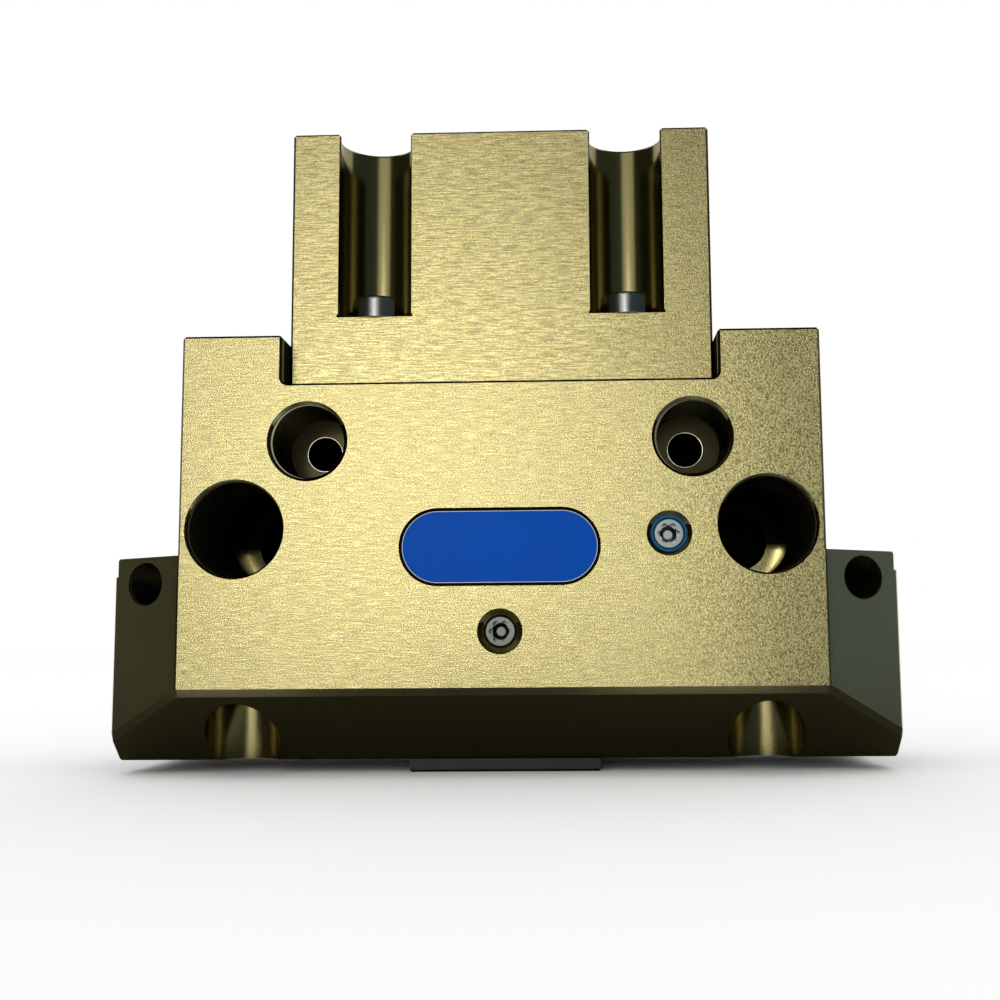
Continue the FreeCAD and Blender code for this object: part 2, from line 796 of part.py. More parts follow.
def spring_housing():
    """Block on the mounting side that holds the springs and closes the cylinder."""
    body = block(-half_block, half_block, -half_block_depth, half_block_depth, notch_z, block_rise)
    body = body.cut([post(sx * block_screw_x, sy * groove_y, flange_top, block_rise + beyond, groove_d)
                     for sx, sy in CORNERS])
    body = broken(body, outline_break, lambda e: at_level(block_rise)(e)
                  or in_depth(half_block_depth)(e) and parallel_to(e, AXIS_Z))
    body = broken(body, notch_fillet, lambda e: at_level(notch_z)(e) and parallel_to(e, AXIS_Y))
    spigot_d = cylinder_d - 2 * running_gap
    spigot = broken(post(0, 0, spigot_z, notch_z + beyond, spigot_d), edge_break, at_level(spigot_z))
    seal_z = spigot_seal_z()
    half_seal = spigot_seal_section / 2
    groove_floor_d = cylinder_d - 2 * spigot_seal_section
    collar_d = max(pull_rod_collar_d, upper_seal_d) + 2 * collar_room
    cuts = [
        tube(seal_z - half_seal, seal_z + half_seal, groove_floor_d, cylinder_d + beyond),
        post(0, 0, spigot_z - beyond, upper_seal_z, collar_d),
        post(0, 0, upper_seal_z - beyond, upper_bush_z, upper_seal_d),
        post(0, 0, upper_bush_z - beyond, spring_floor_z + beyond, upper_bush_d),
        post(0, 0, spring_floor_z, block_rise, spring_bore_d),
        post(0, 0, cap_z, block_rise + beyond, 2 * cap_seat_r),
        post(0, 0, cap_top_z, ring_top_z, 2 * (cap_seat_r + ring_depth)),
    ]
    screw_hole_d = block_screw_d + 2 * block_screw_hole_gap
    for sx, sy in CORNERS:
        x = sx * block_screw_x
        cuts += [
            post(x, sy * groove_y, flange_top, flange_top + spot_face_depth, spot_face_d),
            post(x, sy * block_screw_y, notch_z - beyond, flange_top + beyond, screw_hole_d),
        ]
    return body.fuse(spigot).removeSplitter().cut(cuts)


def spigot_seal_z():
    """Height of the ring that seals the spring housing in the cylinder."""
    return spigot_z + spigot_seal_drop + spigot_seal_section / 2


def spigot_seal():
    """Ring round the spigot of the spring housing."""
    inner_d = cylinder_d - 2 * spigot_seal_section
    return o_ring(spigot_seal_z(), inner_d + 2 * running_gap, cylinder_d - 2 * running_gap)


def spring_housing_screws():
    """Four low head cap screws that stand in the grooves."""
    screws = []
    for sx, sy in CORNERS:
        x = sx * block_screw_x
        y = sy * block_screw_y
        head_top_z = flange_top + block_screw_head_height
        head = post(x, y, flange_top, head_top_z, block_screw_head_d)
        head = head.makeFillet(block_screw_head_round, [e for e in head.Edges if at_level(head_top_z)(e)])
        shank = post(x, y, notch_z - block_screw_engagement, flange_top + beyond, block_screw_d)
        key = hexagon(x, y, flange_top + block_screw_head_height / 3, head_top_z + beyond, block_screw_key)
        screws.append(head.fuse(shank).removeSplitter().cut(key))
    return Part.makeCompound(screws)


def spring_chamber_cap():
    """Round lid of the spring chamber, with a seal groove and a vent."""
    cap = post(0, 0, cap_z, cap_top_z, 2 * (cap_seat_r - cap_gap))
    middle_z = (cap_z + cap_top_z) / 2
    half_seal = cap_seal_section / 2
    floor_d = 2 * (cap_seat_r - cap_seal_section)
    groove = tube(middle_z - half_seal, middle_z + half_seal, floor_d, 2 * cap_seat_r)
    return cap.cut([groove, post(0, 0, cap_z - beyond, cap_top_z + beyond, filter_d + 2 * fit_gap)])


def cap_seal():
    """Ring in the edge of the cap."""
    inner_d = 2 * (cap_seat_r - cap_seal_section) + 2 * running_gap
    return o_ring((cap_z + cap_top_z) / 2, inner_d, 2 * cap_seat_r - 2 * running_gap)


def cap_retaining_ring():
    """Spring steel ring over the cap, open on one side."""
    outer_d = 2 * (cap_seat_r + ring_depth - running_gap)
    ring = tube(cap_top_z, ring_top_z - running_gap, outer_d - 2 * ring_width - 2 * ring_depth, outer_d)
    half_angle = math.radians(ring_opening / 2)
    reach_x = outer_d * math.sin(half_angle)
    reach_y = outer_d * math.cos(half_angle)
    wedge = [
        Vector(0, 0, cap_top_z - beyond),
        Vector(reach_x, -reach_y, cap_top_z - beyond),
        Vector(-reach_x, -reach_y, cap_top_z - beyond),
    ]
    return ring.cut(prism(wedge, Vector(0, 0, ring_thickness + 2 * beyond)))


def export(name, shape):
    """Write one sub-part to its own file."""
    shape.exportStep("parts/" + name + ".step")


def main():
    """Build every sub-part and write it out."""
    os.makedirs("parts", exist_ok=True)
    right_jaw, left_jaw = both_sides(right_base_jaw())
    bush_gap = 2 * fit_gap
    rod_room = 2 * running_gap
    pieces = {
        "housing": housing(),
        "nameplate": nameplate(),
        "feed_plug": sealing_plug(feed_plug_x, feed_plug_z),
        "grease_plug": sealing_plug(0, grease_plug_z),
        "cover_plate": cover_plate(),
        "cover_plate_screws": cover_plate_screws(),
        "spring_housing": spring_housing(),
        "spring_housing_screws": spring_housing_screws(),
        "spigot_seal": spigot_seal(),
        "spring_chamber_cap": spring_chamber_cap(),
        "cap_seal": cap_seal(),
        "cap_retaining_ring": cap_retaining_ring(),
        "vent_filter": post(0, 0, cap_z, cap_top_z, filter_d),
        "outer_spring": coil_spring(outer_spring_d, outer_spring_wire, outer_spring_half_turns),
        "inner_spring": coil_spring(inner_spring_d, inner_spring_wire, inner_spring_half_turns),
        "lower_rod_bush": tube(wall_z, seal_floor_z, rod_d + rod_room, lower_bush_d - bush_gap),
        "lower_rod_seal": tube(seal_floor_z, cylinder_z, rod_d + rod_room, lower_seal_d - bush_gap),
        "upper_rod_bush": tube(upper_bush_z, spring_floor_z, pull_rod_d + rod_room, upper_bush_d - bush_gap),
        "upper_rod_seal": tube(upper_seal_z, upper_bush_z, pull_rod_d + rod_room, upper_seal_d - bush_gap),
        "piston": piston(),
        "piston_seal": piston_seal(),
        "piston_guide_ring": piston_guide_ring(),
        "wedge_hook": wedge_hook(),
        "pull_rod": pull_rod(),
        "stud_seal": stud_seal(),
        "spring_plate": spring_plate(),
        "spring_plate_screw": spring_plate_screw(),
        "right_base_jaw": right_jaw,
        "left_base_jaw": left_jaw,
    }
    for name, shape in pieces.items():
        export(name, shape)
        print(name, len(shape.Solids), "solid", round(shape.Volume, 1), "mm3", shape.isValid())


main()
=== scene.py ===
"""Finishes, threads, springs and small trim of a parallel gripper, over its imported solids."""
import math

import bmesh
import bpy
from bpy.props import FloatProperty, FloatVectorProperty, IntProperty, PointerProperty
from mathutils import Euler, Matrix, Vector


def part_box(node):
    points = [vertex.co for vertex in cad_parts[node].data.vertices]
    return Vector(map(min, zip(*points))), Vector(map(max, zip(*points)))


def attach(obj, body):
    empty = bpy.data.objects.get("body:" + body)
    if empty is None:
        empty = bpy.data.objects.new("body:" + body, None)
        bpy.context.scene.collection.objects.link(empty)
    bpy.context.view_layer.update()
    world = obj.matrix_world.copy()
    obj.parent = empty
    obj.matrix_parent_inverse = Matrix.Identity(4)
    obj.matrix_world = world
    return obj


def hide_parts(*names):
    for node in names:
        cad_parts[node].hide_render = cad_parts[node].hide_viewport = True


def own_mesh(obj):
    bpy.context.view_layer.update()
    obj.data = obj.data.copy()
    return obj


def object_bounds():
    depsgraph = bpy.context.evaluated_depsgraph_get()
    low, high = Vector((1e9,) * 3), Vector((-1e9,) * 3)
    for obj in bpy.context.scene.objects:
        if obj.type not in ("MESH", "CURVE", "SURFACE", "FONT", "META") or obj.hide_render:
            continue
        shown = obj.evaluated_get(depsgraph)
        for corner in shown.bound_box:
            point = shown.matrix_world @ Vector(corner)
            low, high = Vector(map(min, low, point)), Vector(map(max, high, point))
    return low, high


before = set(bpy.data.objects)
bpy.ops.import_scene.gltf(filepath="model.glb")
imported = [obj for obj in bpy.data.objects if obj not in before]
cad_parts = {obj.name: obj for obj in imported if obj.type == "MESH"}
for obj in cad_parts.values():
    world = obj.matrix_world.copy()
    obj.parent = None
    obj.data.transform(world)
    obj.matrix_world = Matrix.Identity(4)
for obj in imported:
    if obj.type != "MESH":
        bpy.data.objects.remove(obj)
CAD_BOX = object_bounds()

bl_info = {
    "name": "Parallel gripper",
    "version": (1, 0, 0),
    "blender": (4, 5, 0),
    "location": "View3D > Sidebar > Gripper",
    "description": "Finishes and small pieces of a parallel gripper, and its studio stage",
    "category": "Object",
}

MM = 0.001
SIDES = (("left", -1), ("right", 1))
FACES = (("front", -1), ("back", 1))
FRONT = (math.pi / 2, 0.0, 0.0)
UNTURNED = (0.0, 0.0, 0.0)

# Ridges of the threads: a triangle drawn in a circle of radius 1, and half a ridge as a share of its pitch
TRIANGLE_HEIGHT = 1.5
TRIANGLE_HALF = 0.866
RIDGE_HALF = 0.38

# Limits under which points are one, in metres
SWEEP_MERGE = 1e-6
CUT_MERGE = 1e-7
TRIM_MERGE = 0.002 * MM

# Holes of the housing along Y
PORT_X = 30 * MM
PORT_Z = -17 * MM
PORT_REACH = 6.6 * MM
PORT_FLOOR_Y = -12 * MM
BORE_X = 41.25 * MM
BORE_Z = -30.7 * MM
BORE_REACH = 7.6 * MM
SHOULDER_Y = 8.5 * MM

# Where the gold finish changes: flat planes, hole mouths, painted shade on the walls and painted light at the
# bores' shoulder
FLAT_GAP = 0.03 * MM
FLAT_FACING = 0.9
MOUTH_DEPTH = 1.2 * MM
DARK_START = 0.6 * MM
DARK_FULL = 1.6 * MM
LIGHT_START = 0.3 * MM
LIGHT_FULL = 1.6 * MM
LIGHT_REACH = 9 * MM
FLOOR_PAINTED_LIGHT = 0.25

# Grain of the gold finish, which turns from brushed to gritty between two places along X
LINE_SCALE = 4200.0
SPECKLE_SCALE = 5400.0
GRIT_SCALE = 4500.0
GRIT_START = 12 * MM
GRIT_FULL = 44 * MM
TONE_MIDDLE = 0.5
TONE_REACH = 0.1
GRIT_SHARPENING = 0.03
GRAIN_DEPTH = 0.013 * MM
WALL_GRAIN = 0.2
SATIN_GRAIN = 0.08

# Smudges and polish of the gold finish
SMUDGE_SCALE = 38.0
SMUDGE_SWING = 0.16
WALL_ROUGH = 0.17
SATIN_ROUGH = 0.34
FACE_ROUGH = (0.23, 0.29)


def tint(red, green, blue):
    """A linear colour from the 0 to 255 values that a screen shows."""
    shares = [value / 255 for value in (red, green, blue)]
    return tuple(s / 12.92 if s <= 0.04045 else ((s + 0.055) / 1.055) ** 2.4 for s in shares)


def length(name, description, millimetres):
    """A length property, in metres."""
    return FloatProperty(name=name, description=description, default=millimetres * MM,
                         min=0.0, precision=6, unit="LENGTH")


def colour(name, description, *values):
    """A colour property."""
    return FloatVectorProperty(name=name, description=description, default=tint(*values),
                               min=0.0, max=1.0, size=3, subtype="COLOR")


class GripperSizes(bpy.types.PropertyGroup):
    """Sizes of the pieces that are modelled here."""
    port_pitch: length("Port thread pitch", "From crest to crest in the air ports", 1.337)
    port_ridge: length("Port thread height", "Height of the ridges in the air ports", 0.34)
    screw_pitch: length("Screw thread pitch", "From crest to crest in wing and shoulder holes", 1.25)
    screw_ridge: length("Screw thread height", "Height of the ridges in wing and shoulder holes", 0.32)
    finger_pitch: length("Finger thread pitch", "From crest to crest in the jaws", 1.0)
    finger_ridge: length("Finger thread height", "Height of the ridges in the jaws", 0.26)
    thread_sink: length("Thread root", "How far a ridge is set into its wall", 0.05)
    rim_section: length("Port rim", "Section of the bare rim at the port's inner hole", 0.16)
    sealant_section: length("Sealant section", "Radius of the sealant bead round the feed plug", 0.3)
    border_width: length("Label border", "Width of the pale edge of the nameplate", 0.09)
    border_rise: length("Label border rise", "Height of the pale edge over the film", 0.03)
    outer_wire: length("Outer spring wire", "Wire of the outer spring", 2.4)
    inner_wire: length("Inner spring wire", "Wire of the inner spring", 2.0)
    outer_turns: FloatProperty(name="Outer spring turns", description="Turns of the outer spring",
                               default=4.5, min=2.0)
    inner_turns: FloatProperty(name="Inner spring turns", description="Turns of the inner spring",
                               default=5.5, min=2.0)
    spring_keep: FloatProperty(name="Spring share", default=0.508, min=0.1, max=1.0,
                               description="Share of the springs' length left when open")
    turn_steps: IntProperty(name="Steps in a turn", description="Faces round a thread or a spring",
                            default=56, min=12)


class GripperColours(bpy.types.PropertyGroup):
    """Colours of the finishes."""
    gold_low: colour("Gold, low", "Anodised faces in the grooves of the grain", 148, 137, 90)
    gold_high: colour("Gold, high", "Anodised faces on the crests of the grain", 212, 200, 142)
    gold_wall: colour("Gold, walls", "Smooth anodised bores and edges", 140, 131, 88)
    # Painted shade: the bevels at the holes' mouths and the broken edges are coloured darker than the alloy.
    gold_bevel_painted_shade: colour("Gold, bevels", "Anodised mouths of the holes and broken edges", 84, 76, 48)
    # Painted shade: the walls deep in the holes are coloured near black, though they are the same alloy.
    gold_bore_painted_shade: colour("Gold, bores", "Dark anodised walls deep in the bores", 22, 21, 13)
    gold_satin: colour("Gold, satin", "Anodised facets of the left wing and the slopes", 174, 170, 122)
    # Painted light: the facets that face right are coloured lighter and greyer than the left ones, as the
    # light falls on them.
    gold_satin_painted_right_light: colour("Gold, cool satin", "Greyer anodised facets of the right wing", 202, 198, 164)
    # Painted shade: the threads are coloured darker than the alloy, as they sit in the holes.
    gold_thread_painted_shade: colour("Gold, threads", "Crests of the threads", 94, 92, 74)
    bare_rim: colour("Bare rim", "Bare metal at the ports' inner holes", 214, 208, 190)
    film: colour("Label film", "Blue film of the nameplate", 0, 66, 154)
    # Painted highlight: the pale edge stands in for glints along the film's edge.
    film_edge_painted_glint: colour("Label edge", "Pale edge of the nameplate", 176, 180, 182)
    feed_plug: colour("Feed plug", "Bright steel of the feed plug", 136, 142, 140)
    grease_plug: colour("Grease plug", "Dull steel of the grease plug", 92, 94, 90)
    sealant: colour("Sealant", "Blue sealant at the feed plug", 8, 70, 104)
    screw: colour("Screw steel", "Dark polished steel of the screws", 146, 146, 142)
    cover: colour("Cover steel", "Black oxide of the cover plate", 37, 42, 38)
    jaw: colour("Jaw steel", "Ground steel of the base jaws", 150, 150, 148)
    drive: colour("Drive steel", "Ground steel of hook and rods", 144, 144, 146)
    spring: colour("Spring steel", "Drawn spring wire", 122, 122, 124)
    ring: colour("Ring steel", "Phosphated retaining ring", 62, 62, 66)
    piston: colour("Piston alloy", "Turned alloy of the piston", 190, 190, 192)
    bronze: colour("Bronze", "Sintered bronze of bushes and filter", 168, 132, 84)
    rubber: colour("Rubber", "Black seals", 34, 34, 34)
    guide: colour("Guide plastic", "Brown plastic of the guide ring", 92, 84, 70)


class GripperStage(bpy.types.PropertyGroup):
    """Camera, lamp, dark cards and floor."""
    camera_place: FloatVectorProperty(name="Camera place", description="Where the camera stands", size=3,
                                      default=(0.011886, -0.198841, -0.048339), precision=6,
                                      subtype="TRANSLATION")
    camera_turn: FloatVectorProperty(name="Camera turn", description="How the camera is turned", size=3,
                                     default=[math.radians(angle) for angle in (95.942, 0.464, 1.646)],
                                     precision=5, subtype="EULER")
    lens: FloatProperty(name="Lens", description="Focal length in millimetres", default=40.9, min=1.0)
    shift_x: FloatProperty(name="Shift X", description="Sideways shift of the frame", default=-0.045)
    shift_y: FloatProperty(name="Shift Y", description="Upward shift of the frame", default=0.0228)
    lamp_power: FloatProperty(name="Lamp power", description="Power of the key lamp", default=3.8,
                              min=0.0, unit="POWER")
    lamp_distance: length("Lamp distance", "From the object to the key lamp", 1200)
    lamp_width: length("Lamp width", "Width of the key lamp", 480)
    lamp_height: length("Lamp height", "Height of the key lamp", 760)
    lamp_azimuth: FloatProperty(name="Lamp azimuth", description="Left or right of straight ahead",
                                default=math.radians(-9), subtype="ANGLE")
    lamp_elevation: FloatProperty(name="Lamp elevation", description="Above the level of the object",
                                  default=math.radians(0), subtype="ANGLE")
    card_distance: length("Card distance", "From the object to the dark cards beside it", 600)
    card_height: length("Card height", "Height of the dark cards", 2000)
    card_colour: colour("Cards", "Dark cards that give the metal its contrast", 60, 58, 52)
    right_card_colour: colour("Right card", "Cooler dark card on the right", 76, 88, 90)
    floor_size: length("Floor size", "Side of the floor", 8000)
    floor_colour: colour("Floor", "Pale floor", 254, 254, 254)
    sky_colour: colour("Surroundings", "White surroundings", 255, 255, 255)


# Node helpers

def feed(tree, socket, value):
    """Give a socket a value, a colour or another node's output."""
    if isinstance(value, bpy.types.NodeSocket):
        tree.links.new(value, socket)
    elif socket.type == "RGBA":
        socket.default_value = (*value[:3], 1.0)
    else:
        socket.default_value = value


def put(tree, kind, inputs=None, **settings):
    """Add a node with its options and inputs."""
    node = tree.nodes.new("ShaderNode" + kind)
    for key, value in settings.items():
        setattr(node, key, value)
    for key, value in (inputs or {}).items():
        feed(tree, node.inputs[key], value)
    return node


def sums(tree, operation, *values):
    """The result of a maths node."""
    return put(tree, "Math", dict(enumerate(values)), operation=operation).outputs[0]


def spread(tree, value, low, high):
    """A 0 to 1 value mapped between two ends."""
    return put(tree, "MapRange", {"Value": value, "To Min": low, "To Max": high}).outputs["Result"]


def reach_mask(tree, value, low, high):
    """0 below the low end, 1 above the high end and a ramp between them."""
    return put(tree, "MapRange", {"Value": value, "From Min": low, "From Max": high}).outputs["Result"]


def unless(tree, mask):
    """The opposite of a mask."""
    return sums(tree, "SUBTRACT", 1.0, mask)


def blend(tree, share, first, second):
    """A value between two values."""
    return put(tree, "Mix", {0: share, 2: first, 3: second}).outputs[0]


def weigh(tree, share, first, second):
    """A sum of two values, by the share of the first."""
    return sums(tree, "ADD", sums(tree, "MULTIPLY", first, share), sums(tree, "MULTIPLY", second, 1 - share))


def mixed(tree, share, first, second):
    """A colour between two colours."""
    node = put(tree, "Mix", data_type="RGBA")
    colours = [socket for socket in node.inputs if socket.type == "RGBA"]
    feed(tree, node.inputs["Factor"], share)
    feed(tree, colours[0], first)
    feed(tree, colours[1], second)
    return next(socket for socket in node.outputs if socket.type == "RGBA")


def noise(tree, vector, scale, detail=2.0, roughness=0.5):
    """The grey value of a noise texture."""
    return put(tree, "TexNoise", {"Vector": vector, "Scale": scale, "Detail": detail,
                                  "Roughness": roughness}).outputs["Fac"]


def stretched(tree, vector, factors):
    """A vector stretched along its axes."""
    return put(tree, "VectorMath", {0: vector, 1: factors}, operation="MULTIPLY").outputs[0]


def new_group(name, inputs, outputs):
    """An empty node group with its sockets; its tree, inputs and outputs."""
    tree = bpy.data.node_groups.new(name, "ShaderNodeTree")
    for label, kind in inputs:
        tree.interface.new_socket(name=label, in_out="INPUT", socket_type="NodeSocket" + kind)
    for label in outputs:
        tree.interface.new_socket(name=label, in_out="OUTPUT", socket_type="NodeSocketFloat")
    inner = tree.nodes.new("NodeGroupInput")
    outer = tree.nodes.new("NodeGroupOutput")
    return tree, inner.outputs, outer.inputs


def group(tree, name, **inputs):
    """Place a node group; its outputs."""
    node = put(tree, "Group", node_tree=bpy.data.node_groups[name])
    for key, value in inputs.items():
        feed(tree, node.inputs[key.replace("_", " ").capitalize()], value)
    return node.outputs


# Effects that several finishes share

def build_flat_faces():
    """Where a surface lies in one of the machined planes of a block."""
    tree, given, made = new_group(
        "Flat faces", [("Position", "Vector"), ("Normal", "Vector"), ("Half width", "Float"),
                       ("Half guide", "Float"), ("Half depth", "Float"), ("Top", "Float"),
                       ("Ledge", "Float")], ["Mask"])
    place = put(tree, "SeparateXYZ", {0: given["Position"]}).outputs
    tilt = put(tree, "SeparateXYZ", {0: given["Normal"]}).outputs
    mask = None
    planes = ((0, "Half width"), (0, "Half guide"), (1, "Half depth"), (2, "Top"), (2, "Ledge"))
    for axis, label in planes:
        reach = sums(tree, "ABSOLUTE", place[axis])
        plane = sums(tree, "COMPARE", reach, given[label], FLAT_GAP)
        facing = sums(tree, "GREATER_THAN", sums(tree, "ABSOLUTE", tilt[axis]), FLAT_FACING)
        plane = sums(tree, "MULTIPLY", plane, facing)
        mask = plane if mask is None else sums(tree, "MAXIMUM", mask, plane)
    feed(tree, made["Mask"], mask)


def build_machined_grain():
    """Fine brushing along X, and the speckle of light blasting."""
    tree, given, made = new_group(
        "Machined grain", [("Position", "Vector"), ("Line scale", "Float"), ("Speckle scale", "Float")],
        ["Lines", "Speckle"])
    along = stretched(tree, given["Position"], (0.08, 1.0, 1.0))
    feed(tree, made["Lines"], noise(tree, along, given["Line scale"], 3.0, 0.6))
    feed(tree, made["Speckle"], noise(tree, given["Position"], given["Speckle scale"], 3.0, 0.65))


def build_smudges():
    """Slow change over a surface, as handling and cleaning leave it."""
    tree, given, made = new_group("Smudges", [("Position", "Vector"), ("Scale", "Float")], ["Value"])
    feed(tree, made["Value"], noise(tree, given["Position"], given["Scale"], 3.0, 0.55))


def build_turned_rings():
    """Fine rings round the Z axis, as a lathe tool leaves them."""
    tree, given, made = new_group("Turned rings", [("Position", "Vector"), ("Scale", "Float")], ["Value"])
    flat = stretched(tree, given["Position"], (1.0, 1.0, 0.0))
    reach = put(tree, "VectorMath", {0: flat}, operation="LENGTH").outputs["Value"]
    axes = put(tree, "SeparateXYZ", {0: given["Position"]}).outputs
    path = put(tree, "CombineXYZ", {"X": reach, "Y": axes[2]}).outputs[0]
    feed(tree, made["Value"], noise(tree, path, given["Scale"], 3.0, 0.6))


def build_pores():
    """Small dark pits, as in sintered metal and moulded rubber."""
    tree, given, made = new_group("Pores", [("Position", "Vector"), ("Scale", "Float")], ["Value"])
    cells = put(tree, "TexVoronoi", {"Vector": given["Position"], "Scale": given["Scale"]})
    feed(tree, made["Value"], cells.outputs["Distance"])


EFFECTS = (build_flat_faces, build_machined_grain, build_smudges, build_turned_rings, build_pores)


def new_finish(name):
    """An empty material; its tree, its Principled shader and the place on the object."""
    material = bpy.data.materials.new(name)
    material.use_nodes = True
    tree = material.node_tree
    shader = next(node for node in tree.nodes if node.type == "BSDF_PRINCIPLED")
    return material, tree, shader, put(tree, "TexCoord").outputs["Object"]


def bump(tree, shader, height, strength, depth):
    """Feed a height into the shader's normal."""
    node = put(tree, "Bump", {"Height": height, "Strength": strength, "Distance": depth})
    feed(tree, shader.inputs["Normal"], node.outputs["Normal"])


def around(tree, axes, x, z, reach):
    """Where a place lies within reach of a hole's axis along Y, on either side."""
    side = put(tree, "CombineXYZ", {"X": sums(tree, "ABSOLUTE", axes[0]), "Y": axes[2]}).outputs[0]
    away = put(tree, "VectorMath", {0: side, 1: (x, z, 0.0)}, operation="DISTANCE").outputs["Value"]
    return sums(tree, "LESS_THAN", away, reach)


def shoulder_painted_light(tree, axes):
    """The low part of a hole in front of the bores' shoulder, where light from the front falls; there it is
    painted in as a lighter colour.
    """
    drop = sums(tree, "MULTIPLY", axes[2], -1.0)
    low = reach_mask(tree, drop, LIGHT_START - BORE_Z, LIGHT_FULL - BORE_Z)
    near = sums(tree, "MULTIPLY", low, reach_mask(tree, axes[1], SHOULDER_Y - LIGHT_REACH, SHOULDER_Y))
    return sums(tree, "MULTIPLY", near, sums(tree, "LESS_THAN", axes[1], SHOULDER_Y + FLAT_GAP))


def painted_hole_shade(tree, axes, facing, half_depth, bore_level, near):
    """Where holes along Y get painted shade: less on the ports' floors, where some light is painted in, and
    none in the painted light near a shoulder.
    """
    depth = sums(tree, "ABSOLUTE", axes[1])
    inside = unless(tree, reach_mask(tree, depth, half_depth - DARK_FULL, half_depth - DARK_START))
    inside = sums(tree, "MULTIPLY", inside, sums(tree, "GREATER_THAN", axes[2], bore_level))
    floor = sums(tree, "MULTIPLY", reach_mask(tree, facing, 0.5, 0.95),
                 sums(tree, "COMPARE", axes[1], PORT_FLOOR_Y, FLAT_GAP))
    port = around(tree, axes, PORT_X, PORT_Z, PORT_REACH)
    # Painted light: in the ports their floors, elsewhere the low part before a bores' shoulder, lift the
    # painted shade.
    lit = blend(tree, port, near, sums(tree, "MULTIPLY", floor, FLOOR_PAINTED_LIGHT))
    return sums(tree, "MULTIPLY", inside, unless(tree, lit))


def satin_facets(tree, axes, tilt, facing, half_width):
    """Where the smooth facets of the wings and the slopes lie."""
    wing = sums(tree, "GREATER_THAN", sums(tree, "ABSOLUTE", axes[0]), half_width + FLAT_GAP)
    downward = sums(tree, "LESS_THAN", tilt[2], -0.3)
    slope = sums(tree, "MULTIPLY", downward, sums(tree, "GREATER_THAN", facing, 0.4))
    return sums(tree, "MAXIMUM", wing, slope)


def face_grain(tree, place, axes, brushing):
    """Light and dark of the grain, brushed and fine on the left, gritty on the right."""
    grain = group(tree, "Machined grain", position=place, line_scale=LINE_SCALE, speckle_scale=SPECKLE_SCALE)
    grit = group(tree, "Machined grain", position=place, speckle_scale=GRIT_SCALE)["Speckle"]
    coarse = reach_mask(tree, axes[0], GRIT_START, GRIT_FULL)
    speckle = blend(tree, coarse, grain["Speckle"], grit)
    lines = sums(tree, "MULTIPLY_ADD", coarse, -brushing, brushing)
    tone = blend(tree, lines, speckle, grain["Lines"])
    reach = sums(tree, "MULTIPLY_ADD", coarse, -GRIT_SHARPENING, TONE_REACH)
    low = sums(tree, "SUBTRACT", TONE_MIDDLE, reach)
    high = sums(tree, "ADD", TONE_MIDDLE, reach)
    return reach_mask(tree, tone, low, high)


